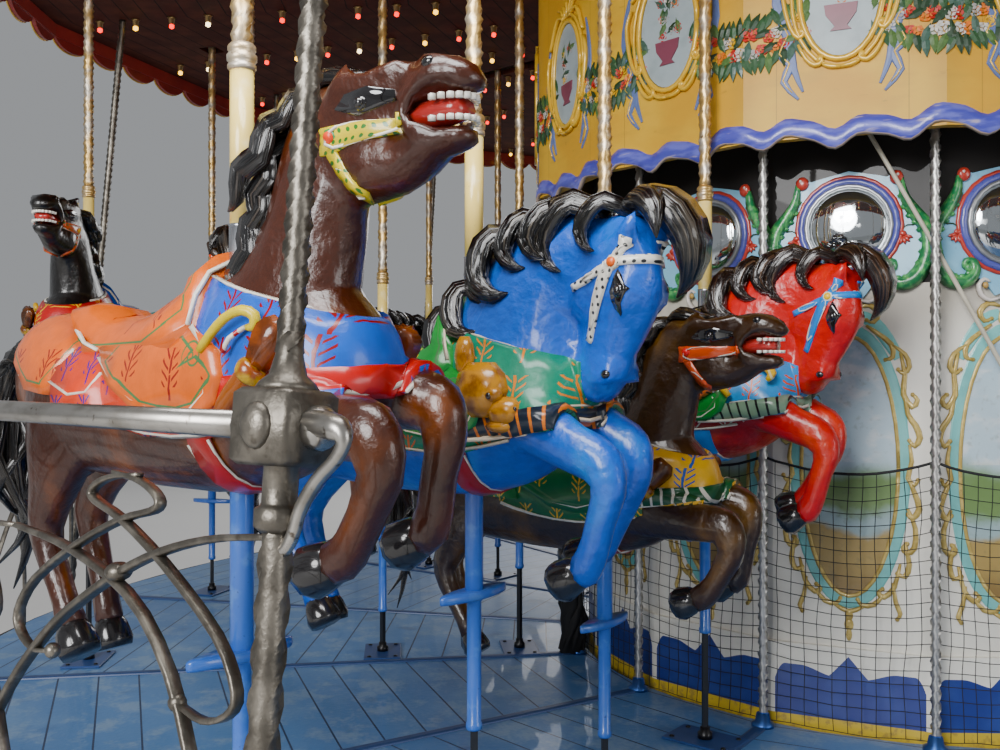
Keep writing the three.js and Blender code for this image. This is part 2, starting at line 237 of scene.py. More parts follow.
class Piece:
    """Vertices and faces gathered from several shapes, each with its finish."""

    def __init__(self):
        self.points, self.faces, self.finish_of, self.finishes, self.smooth = [], [], [], [], []

    def add(self, shape, finish, smooth=True):
        points, faces = shape[:2]
        start = len(self.points)
        self.points.extend(points)
        if finish not in self.finishes:
            self.finishes.append(finish)
        self.faces += [[start + corner for corner in face] for face in faces]
        self.finish_of += [self.finishes.index(finish)] * len(faces)
        self.smooth += [smooth] * len(faces)

    def mesh(self, name):
        mesh = raw_mesh((self.points, self.faces), name)
        mesh.polygons.foreach_set("material_index", self.finish_of)
        mesh.polygons.foreach_set("use_smooth", self.smooth)
        for finish in self.finishes:
            mesh.materials.append(finish)
        return mesh

    def put(self, name, body, slot, *nodes):
        """Makes the object with its faces outwards, lets it ride on a body and stand for CAD nodes."""
        mesh = self.mesh(name)
        mesh.validate()
        faced_out(mesh)
        place(mesh, name, body, slot, *nodes)


def raw_mesh(shape, name="raw"):
    mesh = bpy.data.meshes.new(name)
    mesh.from_pydata([tuple(p) for p in shape[0]], [], shape[1])
    return mesh


def faced_out(mesh):
    work = bmesh.new()
    work.from_mesh(mesh)
    bmesh.ops.recalc_face_normals(work, faces=work.faces)
    work.to_mesh(mesh)
    work.free()


def place(mesh, name, body, slot, *nodes):
    mesh.name = name
    made = bpy.data.objects.new(name, mesh)
    bpy.context.scene.collection.objects.link(made)
    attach(made, body)
    if nodes:
        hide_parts(*nodes)


def dress(name, finish):
    """Gives a CAD node that stays visible its finish."""
    slots = frame["nodes"][name].data.materials
    slots.clear()
    slots.append(finish)


def round_ring(sides):
    """Cosine and sine at even steps round a ring."""
    return [(cos(2 * pi * s / sides), sin(2 * pi * s / sides)) for s in range(sides)]


def polar(radius, angle, z=0.0):
    return Vector((radius * cos(radians(angle)), radius * sin(radians(angle)), z))


def moved(shape, matrix):
    points, faces = shape[:2]
    return [matrix @ Vector(p) for p in points], faces


def merged(*shapes):
    points, faces = [], []
    for more_points, more_faces, *_ in shapes:
        start = len(points)
        points.extend(more_points)
        faces.extend([start + corner for corner in face] for face in more_faces)
    return points, faces


def rings(rows, closed=True):
    """Skins rows of points, each a closed ring, into a tube with flat ends."""
    sides = len(rows[0])
    points = [p for row in rows for p in row]
    faces = []
    for r in range(len(rows) - 1):
        for s in range(sides):
            a, b = r * sides + s, r * sides + (s + 1) % sides
            faces.append([a, b, b + sides, a + sides])
    if closed:
        faces.append([*range(sides)][::-1])
        faces.append([(len(rows) - 1) * sides + s for s in range(sides)])
    return points, faces


def spline(stations, steps):
    """Catmull-Rom values between stations, each a tuple of numbers."""
    values = np.array(stations, float)
    padded = np.vstack([2 * values[0] - values[1], values, 2 * values[-1] - values[-2]])
    made = []
    for i in range(len(values) - 1):
        a, b, c, d = padded[i : i + 4]
        for t in np.arange(steps) / steps:
            made.append(0.5 * (2 * b + (c - a) * t + (2 * a - 5 * b + 4 * c - d) * t**2
                               + (3 * b - a - 3 * c + d) * t**3))
    made.append(values[-1])
    return np.array(made)


def frames(path):
    """A side and an up vector at each point of a path, turned as little as possible."""
    count = len(path)
    tangents = [(path[min(i + 1, count - 1)] - path[max(i - 1, 0)]).normalized() for i in range(count)]
    side = tangents[0].orthogonal().normalized()
    made = []
    for tangent in tangents:
        side = (side - tangent * side.dot(tangent)).normalized()
        made.append((side, tangent.cross(side)))
    return made


def tube(path, radii, sides=10, lobes=0, depth=0.0, twist=0.0, flat=1.0):
    """A tube along a path. Lobes, their depth and a twist in degrees give it rounded strands."""
    path = [Vector(p) for p in path]
    if not hasattr(radii, "__len__"):
        radii = [radii] * len(path)
    rows = []
    for i, (side, up) in enumerate(frames(path)):
        turn = radians(twist) * i / max(len(path) - 1, 1)
        row = []
        for s in range(sides):
            angle = 2 * pi * s / sides
            reach = radii[i] * (1 + depth * (2 * abs(cos(lobes * angle / 2)) - 1))
            angle += turn
            row.append(path[i] + side * (cos(angle) * reach) + up * (sin(angle) * reach * flat))
        rows.append(row)
    return rings(rows)


def loft(stations, sides=20, steps=4, power=2.0):
    """A limb in the X-Z plane through stations of x, z, half depth and half width, and y if it leaves it."""
    values = spline([tuple(s) + (0.0,) * (5 - len(s)) for s in stations], steps)
    rows = []
    for i, (x, z, deep, wide, y) in enumerate(values):
        before, after = values[max(i - 1, 0)], values[min(i + 1, len(values) - 1)]
        along = Vector((after[0] - before[0], 0, after[1] - before[1])).normalized()
        up = Vector((-along.z, 0, along.x))
        row = []
        for s in range(sides):
            angle = 2 * pi * s / sides
            c, d = cos(angle), sin(angle)
            c = math.copysign(abs(c) ** (2 / power), c)
            d = math.copysign(abs(d) ** (2 / power), d)
            row.append(Vector((x, y, z)) + up * (c * max(deep, 0.002)) + Vector((0, -d * max(wide, 0.002), 0)))
        rows.append(row)
    return rings(rows)


def ball(centre, radii, columns=16, rows=10):
    made = []
    for r in range(1, rows):
        lift = pi * r / rows
        wide = (radii[0] * sin(lift), radii[1] * sin(lift))
        made.append([Vector((centre[0] + wide[0] * c, centre[1] + wide[1] * d, centre[2] - radii[2] * cos(lift)))
                     for c, d in round_ring(columns)])
    return rings(made)


def turned(profile, sides, centre=(0, 0), first=0.0):
    """A closed body of revolution about a vertical axis, from pairs of radius and height."""
    rows = []
    for radius, z in profile:
        rows.append([polar(radius, first + 360 * s / sides, z) + Vector((*centre, 0)) for s in range(sides)])
    return rings(rows)


def torus(rows):
    """Skins rows of points, each a closed ring, into a band that closes on its own start."""
    count, sides = len(rows), len(rows[0])
    faces = []
    for r in range(count):
        for s in range(sides):
            after, beside = (r + 1) % count * sides, (s + 1) % sides
            faces.append([r * sides + s, r * sides + beside, after + beside, after + s])
    return [p for row in rows for p in row], faces


# Horses, each facing +X with the pole on the Z axis and the platform at zero. Stations are x, z, half depth,
# half width and, on the legs, y.

TRUNK = mm((
    (-880, 1330, 20, 20), (-865, 1320, 80, 50), (-815, 1300, 125, 80), (-700, 1275, 155, 118), (-560, 1245, 165, 148),
    (-400, 1228, 165, 155), (-200, 1235, 180, 158), (-20, 1260, 200, 160), (130, 1300, 205, 155),
))
CHESTS = {
    "high": mm(((250, 1315, 170, 140), (335, 1310, 120, 110), (385, 1305, 60, 65), (400, 1305, 20, 20))),
    "bowed": mm(((220, 1320, 180, 135), (290, 1335, 135, 105), (335, 1340, 60, 60))),
}
NECKS = {
    "high": mm((
        (100, 1360, 200, 125), (175, 1455, 145, 105), (222, 1550, 115, 90), (243, 1630, 108, 80),
        (258, 1700, 102, 70), (270, 1760, 90, 56), (275, 1800, 45, 36),
    )),
    "bowed": mm((
        (90, 1360, 200, 125), (150, 1470, 195, 110), (200, 1570, 165, 96), (265, 1635, 130, 82), (345, 1660, 105, 70),
        (410, 1655, 85, 62), (450, 1640, 50, 45),
    )),
}
SKULLS = {
    "high": mm((
        (225, 1775, 40, 40), (270, 1770, 68, 56), (340, 1762, 66, 66), (410, 1765, 60, 58), (480, 1785, 48, 46),
        (530, 1797, 41, 46), (575, 1799, 34, 49), (612, 1785, 27, 43), (637, 1775, 12, 22),
    )),
    "bowed": mm((
        (475, 1735, 30, 35), (472, 1695, 70, 57), (461, 1630, 103, 74), (453, 1560, 112, 76), (432, 1490, 95, 63),
        (410, 1435, 78, 55), (398, 1385, 80, 56), (395, 1345, 66, 52), (410, 1320, 30, 30),
    )),
}
JAW = mm((
    (250, 1710, 45, 45), (310, 1690, 78, 56), (380, 1678, 75, 58), (440, 1670, 62, 52), (500, 1673, 45, 44),
    (550, 1689, 27, 41), (595, 1691, 22, 38), (625, 1693, 12, 24),
))
FORE_LEGS = {
    "high": mm((
        ((140, 1270, 120, 62, -85), (270, 1228, 84, 56, -95), (390, 1212, 60, 48, -100), (485, 1205, 56, 46, -100),
        (509, 1140, 42, 40, -100), (475, 1070, 36, 36, -100), (445, 1020, 36, 36, -100), (418, 992, 40, 38, -100),
        (390, 980, 42, 38, -100)), ((160, 1280, 120, 62, 85), (280, 1265, 80, 56, 95), (380, 1258, 60, 48, 100),
        (450, 1243, 55, 46, 100), (468, 1180, 42, 40, 100), (453, 1120, 36, 36, 100), (444, 1060, 36, 36, 100),
        (428, 1015, 40, 38, 100), (405, 1003, 42, 38, 100)),
    )),
    "bowed": mm((
        ((140, 1290, 120, 62, -85), (260, 1260, 80, 56, -95), (370, 1210, 60, 48, -100), (455, 1175, 55, 46, -100),
        (480, 1120, 42, 40, -100), (460, 1050, 36, 36, -100), (440, 980, 36, 36, -100), (420, 938, 40, 38, -100),
        (398, 925, 42, 38, -100)), ((140, 1300, 120, 62, 85), (250, 1275, 80, 56, 95), (345, 1230, 60, 48, 100),
        (410, 1195, 55, 46, 100), (425, 1130, 42, 40, 100), (388, 1050, 36, 36, 100), (350, 985, 36, 36, 100),
        (325, 945, 40, 38, 100), (303, 935, 42, 38, 100)),
    )),
}
HIND_LEGS = mm((
    ((-560, 1220, 140, 70, -80), (-570, 1120, 108, 64, -90), (-605, 1030, 66, 50, -90), (-635, 960, 50, 42, -90),
    (-625, 900, 40, 36, -90), (-570, 815, 33, 32, -90), (-530, 755, 34, 33, -90), (-510, 725, 42, 38, -90)),
    ((-620, 1230, 140, 70, 80), (-655, 1130, 108, 64, 90), (-715, 1035, 66, 50, 90), (-760, 955, 50, 42, 90),
    (-750, 895, 40, 36, 90), (-710, 800, 33, 32, 90), (-685, 720, 34, 33, 90), (-670, 680, 42, 38, 90)),
))
HEAD_PIVOT = Vector((0.43, 0.0, 1.57))
HEAD_YAW = {"high": 0.0, "bowed": -16.0}
CARVING_VOXEL = 0.011
CARVING_SHARE = 0.05


def head_turn(form):
    turn = Matrix.Rotation(radians(HEAD_YAW[form]), 4, "Z")
    return Matrix.Translation(HEAD_PIVOT) @ turn @ Matrix.Translation(-HEAD_PIVOT)


def evaluated(mesh, *modifiers):
    """The mesh after modifiers, each a type with its settings. A node tree's inputs are set by their identifiers."""
    made = bpy.data.objects.new("blank", mesh)
    bpy.context.scene.collection.objects.link(made)
    for kind, settings in modifiers:
        modifier = made.modifiers.new(kind, kind)
        for setting, value in settings.items():
            if setting.startswith("Socket"):
                modifier[setting] = value
            else:
                setattr(modifier, setting, value)
    graph = bpy.context.evaluated_depsgraph_get()
    result = bpy.data.meshes.new_from_object(made.evaluated_get(graph), depsgraph=graph)
    bpy.data.objects.remove(made)
    return result


def carved(*shapes):
    """Fuses shapes into one smooth carving."""
    fused = evaluated(
        raw_mesh(merged(*shapes)),
        ("REMESH", {"mode": "VOXEL", "voxel_size": CARVING_VOXEL}),
        ("SMOOTH", {"factor": 0.5, "iterations": 5}),
        ("DECIMATE", {"ratio": CARVING_SHARE}),
    )
    return [v.co.copy() for v in fused.vertices], [list(f.vertices) for f in fused.polygons]


def curve(path, steps):
    """Points on a smooth curve through places."""
    return [Vector(p) for p in spline([tuple(p) for p in path], steps)]


def rim(at, long, high, thick, steps=20):
    """An oval rim on the side of the head."""
    ring = round_ring(steps)
    return tube([Vector((at[0] + long * c, at[1], at[2] + high * s)) for c, s in ring + ring[:1]], thick, 8)


def head_shapes(form):
    """Skull, jaw, brows, lips and nostrils, facing straight ahead."""
    shapes = [loft(SKULLS[form], 20, 4)]
    if form == "high":
        shapes.append(loft(JAW, 16, 4))
        for side in (-1, 1):
            for path, thick in mm((
                (((335, 58, 1790), (375, 60, 1810), (430, 52, 1810), (500, 42, 1822)), 16),
                (((570, 47, 1795), (530, 50, 1775), (508, 50, 1745), (515, 48, 1715), (555, 43, 1704)), 12.5),
            )):
                shapes.append(tube(curve([Vector((x, side * y, z)) for x, y, z in path], 4), thick, 8))
            shapes.append(rim((0.562, side * 0.042, 1.812), 0.022, 0.015, 0.008))
            shapes.append(ball((0.4, side * 0.035, 1.675), (0.06, 0.032, 0.06), 14, 9))
    else:
        for side in (-1, 1):
            shapes.append(rim((0.515, side * 0.062, 1.555), 0.024, 0.03, 0.009))
            shapes.append(rim((0.45, side * 0.044, 1.372), 0.015, 0.019, 0.008))
            shapes.append(ball((0.39, side * 0.045, 1.56), (0.06, 0.036, 0.07), 14, 9))
            lip = mm(((335, 1345), (355, 1400), (385, 1400), (398, 1355)))
            lip = [Vector((x, side * 0.045, z)) for x, z in lip]
            shapes.append(tube(curve(lip, 4), 0.0125, 8))
        shapes.append(ball((0.337, 0, 1.37), (0.032, 0.036, 0.036), 14, 9))
    return shapes


def ears(form):
    places = ((0.325, 0.04, 1.8), (0.385, 0.058, 1.848))
    if form == "bowed":
        places = ((0.515, 0.045, 1.665), (0.565, 0.062, 1.735))
    low, high = (Vector(p) for p in places)
    made = []
    for side in (-1, 1):
        turned_side = Vector((1, side, 1))
        path = [(low + (high - low) * t) * turned_side for t in (0, 0.3, 0.65, 0.9, 1)]
        made.append(tube(path, [0.02, 0.026, 0.02, 0.009, 0.002], 12, flat=0.6))
    return made


def horse_carving(form):
    turn = head_turn(form)
    head = [moved(shape, turn) for shape in head_shapes(form) + ears(form)]
    limbs = [loft(leg, 14, 4) for leg in (*FORE_LEGS[form], *HIND_LEGS)]
    return carved(loft((*TRUNK, *CHESTS[form]), 24, 4), loft(NECKS[form], 20, 4), *head, *limbs)


def hooves(form):
    made = []
    for leg in (*FORE_LEGS[form], *HIND_LEGS):
        (x0, z0, _, _, y), (x1, z1, *_) = leg[-2], leg[-1]
        along = Vector((x1 - x0, 0, z1 - z0)).normalized()
        start = Vector((x1, y, z1))
        path = [start - along * 0.012, start + along * 0.012, start + along * 0.05, start + along * 0.068]
        made.append(tube(path, [0.03, 0.042, 0.05, 0.044], 10))
    return merged(*made)


# Cloths and saddle, cut from the carving's own surface so that they lie on it


def convex_patch(shape, outline):
    """The part of a surface inside a convex outline of x and z, seen from the side."""
    work = bmesh.new()
    mesh = raw_mesh(shape)
    work.from_mesh(mesh)
    bpy.data.meshes.remove(mesh)
    middle = Vector((sum(x for x, _ in outline) / len(outline), 0, sum(z for _, z in outline) / len(outline)))
    for (x0, z0), (x1, z1) in zip(outline, (*outline[1:], outline[0])):
        start = Vector((x0, 0, z0))
        along = Vector((x1 - x0, 0, z1 - z0))
        out = Vector((along.z, 0, -along.x)).normalized()
        if (middle - start).dot(out) > 0:
            out = -out
        bmesh.ops.bisect_plane(
            work, geom=[*work.verts, *work.edges, *work.faces], plane_co=start, plane_no=out, clear_outer=True
        )
    bmesh.ops.dissolve_degenerate(work, edges=work.edges, dist=0.0015)
    bmesh.ops.remove_doubles(work, verts=work.verts, dist=0.0015)
    work.normal_update()
    return work


def boundary_loops(work):
    """Ordered points round each open edge of a surface."""
    loose = {edge for edge in work.edges if edge.is_boundary}
    loops = []
    while loose:
        edge = loose.pop()
        start, at = edge.verts
        loop = [start, at]
        while True:
            following = [e for e in at.link_edges if e in loose]
            if not following:
                break
            loose.discard(following[0])
            at = following[0].other_vert(at)
            loop.append(at)
        loops.append(loop)
    return loops


def laid_cloth(shape, outline, lift, sink=0.008):
    """A shell over part of a surface with its rim sunk in it, and its raised edge. Lift is a length or a function."""
    work = convex_patch(shape, outline)
    verts = list(work.verts)
    index = {v: i for i, v in enumerate(verts)}
    raised = [v.co + v.normal * (lift(v.co) if callable(lift) else lift) for v in verts]
    sunk = [v.co - v.normal * sink for v in verts]
    count = len(verts)
    faces = [[index[v] for v in f.verts] for f in work.faces]
    for edge in work.edges:
        if edge.is_boundary:
            face_verts = list(edge.link_faces[0].verts)
            a, b = edge.verts
            if face_verts[(face_verts.index(a) + 1) % len(face_verts)] != b:
                a, b = b, a
            faces.append([index[b], index[a], index[a] + count, index[b] + count])
    loops = [[raised[index[v]] for v in loop] for loop in boundary_loops(work)]
    work.free()
    return (raised + sunk, faces), loops


def thinned(points, step):
    kept = [points[0]]
    for point in points[1:-1]:
        if (point - kept[-1]).length > step:
            kept.append(point)
    kept.append(points[-1])
    return kept


def lies_inside(outline, point):
    turns = [(x1 - x0) * (point.z - z0) - (z1 - z0) * (point.x - x0)
             for (x0, z0), (x1, z1) in zip(outline, (*outline[1:], outline[0]))]
    return all(t > 0 for t in turns) or all(t < 0 for t in turns)


def uncovered(loops, covers):
    """The stretches of edges that no outline in covers hides."""
    made = []
    for loop in loops:
        run = []
        for point in loop:
            if any(lies_inside(outline, point) for outline in covers):
                made.append(run)
                run = []
            else:
                run.append(point)
        made.append(run)
    return [run for run in made if len(run) > 4]


def piping(loops, radius, step=0.064):
    made = []
    for loop in loops:
        path = thinned(loop, step)
        for _ in range(2):
            path = [path[0]] + [(a + b * 2 + c) / 4 for a, b, c in zip(path, path[1:], path[2:])] + [path[-1]]
        if len(path) > 3:
            made.append(tube(path, radius, 3))
    return merged(*made)


# Outlines of the cloths and the saddle, seen from the side. The chest cloth ends lower and further back on the
# horses with bowed heads.
CHEST_EDGES = {"high": (0.42, 1.268), "bowed": (0.36, 1.245)}
SEAT = mm(((-800, 1500), (-455, 1362), (-400, 1341), (0, 1345), (60, 1385), (-10, 1530), (-60, 1620), (-600, 1620)))
SADDLE_FLAP = mm((
    (-320, 1345), (-227, 1282), (-100, 1228), (0, 1215), (90, 1222), (145, 1250), (166, 1295), (150, 1345),
    (60, 1385), (-100, 1400), (-260, 1385),
))
UNDER_CLOTH = mm(((-400, 1300), (-300, 1210), (-100, 1182), (100, 1186), (235, 1222), (235, 1330), (0, 1360)))
REAR_PAD = mm(((-850, 1620), (-830, 1360), (-620, 1265), (-500, 1255), (-440, 1360), (-580, 1620)))
REAR_FLAP = mm(((-600, 1620), (-462, 1236), (-240, 1236), (-300, 1400), (-420, 1620)))
GIRTH = mm(((30, 1300), (30, 980), (90, 980), (90, 1300)))


def chest_outlines(form):
    """The chest cloth and the band along its lower edge."""
    x, z = CHEST_EDGES[form]
    cloth = (
        (-0.02, 1.495), (x, 1.49 - 0.25 * x), (x, z), (0.2, z - 0.023), (0.06, z - 0.028), (-0.05, 1.3), (-0.06, 1.45)
    )
    return cloth, ((x, z + 0.05), (x, z), (0.2, z - 0.023), (0.06, z - 0.028), (0.05, z + 0.022))


def saddle_lift(at):
    """How high the saddle stands over the back: a pommel, a low seat and a high cantle."""
    top = max(0.0, min(1.0, (at.z - 1.33) / 0.07))
    top = top * top * (3 - 2 * top)
    cantle = math.exp(-(((at.x + 0.49) / 0.1) ** 2))
    pommel = math.exp(-(((at.x + 0.01) / 0.05) ** 2))
    return 0.019 + top * (0.01 + 0.046 * cantle + 0.014 * pommel)


def pad_lift(at):
    top = max(0.0, min(1.0, (at.z - 1.3) / 0.08))
    hump = math.exp(-(((at.x + 0.68) / 0.08) ** 2))
    return 0.014 + top * 0.014 * hump


# Finishes of the horses. Their own colours come from the attributes "ground" and "trim", which each horse's mesh
# carries, and their patterns lie on "carve", the place on the horse before it was stood on the ride.


class HorseFinish(Finish):
    laid_on = "carve"

    def __init__(self, name, roughness, **sockets):
        super().__init__(name, (0.5, 0.5, 0.5), roughness, **sockets)
        self.ground, self.trim = self.stored("ground"), self.stored("trim")
        self.color = self.ground

    def wear(self, scale, detail, low, change):
        """Lets wear lighten and darken the ground, and returns its noise."""
        wear = self.noise(scale, detail)
        self.color = self.shaded(self.ground, low + wear * change)
        return wear

    def trees(self, scale, high, wide):
        """Small painted trees: a stem with short twigs on both sides."""
        dx, dz = self.cell_places(scale, 0.35)
        side = abs(dx + self.noise(18, 2) * 0.02 - 0.01)
        twigs = ((dz - side * 0.9) % 0.021 < 0.0062) * side.between(0.006, wide) * dz.between(-high * 0.5, high)
        return ((side < 0.003) * (abs(dz) < high)).highest(twigs)

    def cell_places(self, scale, scatter):
        x, _, z = self.axes()
        flat = self.node("ShaderNodeCombineXYZ", None, [x, z, 0.0]).outputs[0]
        values = {"Vector": flat, "Scale": scale, "Randomness": scatter}
        cell = self.node("ShaderNodeTexVoronoi", {"voronoi_dimensions": "2D"}, values)
        split = self.node("ShaderNodeSeparateXYZ", None, [cell.outputs["Position"]])
        return x - Shade(self, split.outputs[0]), z - Shade(self, split.outputs[1])


def coat_finish():
    made = HorseFinish("carved_coat", 0.3, Coat_Weight=0.45, Coat_Roughness=0.1)
    # Sheen: broad patches of the lighter "glow" colour over the ground, a painted highlight on the coat
    sheen = made.noise(6, 3, (1, 1, 0.5)).eased(0.5, 0.72)
    highlighted_coat = made.mix(sheen * 0.6, made.ground, made.trim)
    made.color = made.shaded(highlighted_coat, 0.75 + made.noise(60, 2, (0.4, 1, 1)) * 0.45)
    made.paint()
    made.relief(made.noise(26, 4), 0.007)
    made.gloss(0.22 + made.noise(12, 3) * 0.22)
    return made.material


def hair_finish():
    """Glossy hair with fine grooves: on locks, "carve" runs round and along each of them."""
    made = HorseFinish("carved_mane", 0.2, Coat_Weight=0.6, Coat_Roughness=0.08)
    streak = made.noise(70, 2, (1, 1, 0.07))
    # Streaks of the second hair colour along the locks: a painted highlight
    made.color = made.mix(streak.eased(0.5, 0.7) * 0.7, made.ground, made.trim)
    made.paint()
    made.relief(streak, 0.012)
    return made.material


def cloth_finish():
    made = HorseFinish("painted_cloth", 0.34, Coat_Weight=0.25, Coat_Roughness=0.12)
    marks, wear = made.trees(8.5, 0.045, 0.026), made.wear(30, 4, 0.75, 0.45)
    made.paint((marks, made.trim))
    made.relief(wear + marks * 0.5, 0.002)
    return made.material


def saddle_finish():
    """A plain ground with a line along its edge, a volute and small trees."""
    made = HorseFinish("painted_saddle", 0.32, Coat_Weight=0.3, Coat_Roughness=0.08)
    x, _, z = made.axes()
    dx, dz = x - 0.085, z - 1.335
    away, angle = (dx * dx + dz * dz).math("SQRT"), dz.math("ARCTAN2", dz, dx)
    volute = ((away - angle * 0.0032) % 0.0201 < 0.0045) * (away < 0.033)
    edge = Shade(made, made.stored("edge", "Fac"))
    lines = volute.highest(edge.between(0.021, 0.0255))
    wear = made.wear(24, 4, 0.72, 0.5)
    made.paint((made.trees(7, 0.05, 0.028) * (edge > 0.03) * (away > 0.045), made.trim), (lines, (0.05, 0.16, 0.05)))
    made.relief(wear, 0.002)
    return made.material


def band_finish():
    """A straight band with short bars of the trim colour."""
    made = HorseFinish("barred_band", 0.3, Coat_Weight=0.3, Coat_Roughness=0.15)
    x, _, z = made.axes()
    made.wear(40, 3, 0.85, 0.3)
    made.paint((((x + z * 0.3) % 0.034).between(0.004, 0.012), made.trim))
    return made.material


def strap_finish():
    """Leather with rows of painted dots."""
    made = HorseFinish("painted_strap", 0.28, Coat_Weight=0.4, Coat_Roughness=0.1)
    dx, dz = made.cell_places(55, 0.15)
    made.wear(50, 3, 0.85, 0.3)
    made.paint(((dx * dx + dz * dz).math("SQRT") < 0.0042, made.trim))
    return made.material


def piping_finish():
    made = HorseFinish("piping", 0.35, Coat_Weight=0.2, Coat_Roughness=0.2)
    made.wear(70, 3, 0.8, 0.4)
    made.paint()
    return made.material


def ornament_finish():
    """Carved ornament in two blended colours."""
    made = HorseFinish("carved_ornament", 0.25, Coat_Weight=0.4, Coat_Roughness=0.1)
    blend = made.noise(22, 4)
    made.paint((blend.eased(0.42, 0.66) * 0.8, made.trim))
    made.relief(blend, 0.003)
    return made.material


COAT, HAIR, CLOTH, SADDLE_PAINT = coat_finish(), hair_finish(), cloth_finish(), saddle_finish()
BAND, STRAP, PIPING, ORNAMENT = band_finish(), strap_finish(), piping_finish(), ornament_finish()
# Barley-twist brass worn to silver, and the rest of the pole
BRASS = worn_finish(
    "worn_brass", (0.55, 0.36, 0.12), 0.32, 0.75, (14, 5), (0.42, 0.68, 0.85, (0.52, 0.5, 0.46)),
    (60, 3, 0.6, 0.8, 1, (0.2, 0.12, 0.05)), gloss=(0.24, 0.25)
)
POLE_YELLOW = worn_finish(
    "pole_yellow", (0.8, 0.6, 0.16), 0.25, 0.0, (18, 5), (0.5, 0.7, 0.6, (0.86, 0.74, 0.42)),
    (90, 3, 0.66, 0.8, 1, (0.45, 0.3, 0.1)), Coat_Weight=0.4
)
POLE_SLEEVE = worn_finish(
    "pole_sleeve", (0.42, 0.44, 0.47), 0.2, 0.85, (40, 3, (1, 1, 0.1)), (0.4, 0.7, 0.6, (0.22, 0.23, 0.26))
)
TUBE_BLUE = worn_finish(
    "tube_blue", (0.03, 0.13, 0.52), 0.28, 0.0, (25, 5), (0.52, 0.7, 0.5, (0.1, 0.26, 0.62)),
    (70, 3, 0.68, 0.78, 1, (0.02, 0.05, 0.2)), 0.001, Coat_Weight=0.4
)
HOOF = plain_finish("hoof_black", (0.012, 0.011, 0.012), 0.2, Coat_Weight=0.5)
EYE_BLACK = plain_finish("eye_black", (0.008, 0.007, 0.008), 0.08, Coat_Weight=1.0)
TEETH = plain_finish("teeth_white", (0.86, 0.83, 0.74), 0.2, Coat_Weight=0.6)
MOUTH = plain_finish("mouth_red", (0.42, 0.02, 0.015), 0.25, Coat_Weight=0.6)

# Fittings of each horse: the head's straps as outlines of x and z, rosettes, eyes and the crest of the neck


def strip(start, end, width, end_width=None):
    """The outline of a straight strap between two points of x and z."""
    along = Vector((end[0] - start[0], end[1] - start[1])).normalized()
    out = Vector((-along.y, along.x)) / 2
    a, b = Vector(start), Vector(end)
    near, far = out * width, out * (end_width or width)
    return tuple(tuple(p) for p in (a + near, b + far, b - far, a - near))


HEAD_STRAPS = {
    "high": (
        mm(((312, 1740), (505, 1738), (512, 1716), (330, 1690), (312, 1690))),
        strip((0.335, 1.7), (0.402, 1.612), 0.022),
    ),
    "bowed": (
        strip((0.497, 1.62), (0.405, 1.446), 0.028, 0.018),
        strip((0.497, 1.617), (0.375, 1.57), 0.018),
        strip((0.49, 1.62), (0.6, 1.627), 0.02),
        strip((0.5, 1.62), (0.532, 1.675), 0.02),
    ),
}
ROSETTES = {"high": (0.336, 1.722, 0.02), "bowed": (0.5, 1.62, 0.02)}
EYES = {"high": (0.414, 1.768, 0.015), "bowed": (0.517, 1.556, 0.019)}
EYE_PATCHES = {
    "high": mm(((355, 1765), (380, 1788), (430, 1795), (485, 1782), (485, 1765), (405, 1748))),
    "bowed": mm(((515, 1605), (543, 1560), (510, 1500), (492, 1555))),
}
NOSTRILS = {"high": (0.562, 0.045, 1.813), "bowed": (0.452, 0.047, 1.372)}
CREST = {
    "high": mm(((245, 1815), (200, 1785), (172, 1735), (155, 1680), (135, 1620), (118, 1565), (95, 1510))),
    "bowed": mm((
        (480, 1745), (400, 1745), (320, 1745), (240, 1735), (165, 1705), (100, 1655), (45, 1590), (-10, 1530),
        (-70, 1460),
    )),
}
# A lock's path from the crest: out from the neck, down along the crest and out to the side, and how thick it is.
# Raised heads have locks that wave down the back of the neck, bowed heads have ones that curl over it.
LOCKS = {
    "high": mm(((-10, -10, 15), (22, 45, 50), (-6, 90, 60), (16, 135, 66), (-12, 180, 70), (6, 215, 62))),
    "bowed": mm(((-10, -10, 15), (30, 45, 65), (-5, 90, 95), (-60, 110, 108), (-105, 85, 108), (-120, 50, 100))),
}
LOCK_RADII = {"high": 0.034, "bowed": 0.034}


def turned_patch(shape, outline, lift, turn, sink=0.006):
    """A strap cut from a head that is turned: the surface is turned back for the cut."""
    back = turn.inverted()
    straight = moved(shape, back)
    (points, faces), loops = laid_cloth(straight, outline, lift, sink)
    return moved((points, faces), turn), [[turn @ p for p in loop] for loop in loops]


def lock(path, radius, turns, sides=6, flat=0.6):
    """A carved lock of hair, thick in the middle and pointed, with places round and along it for its grooves."""
    fine = curve(path, 2)
    count = len(fine) - 1
    radii = [radius * (0.45 + 0.8 * sin(pi * (0.1 + 0.75 * i / count))) * (1 - (i / count) ** 3 * 0.93)
             for i in range(count + 1)]
    along, carve = radius * 40 * len(path), []
    for i in range(count + 1):
        along += (fine[i] - fine[max(i - 1, 0)]).length
        carve += [Vector((c * radius * 1.5, s * radius * 1.5, along)) for c, s in round_ring(sides)]
    return *tube(fine, radii, sides, 3, 0.12, turns, flat), carve


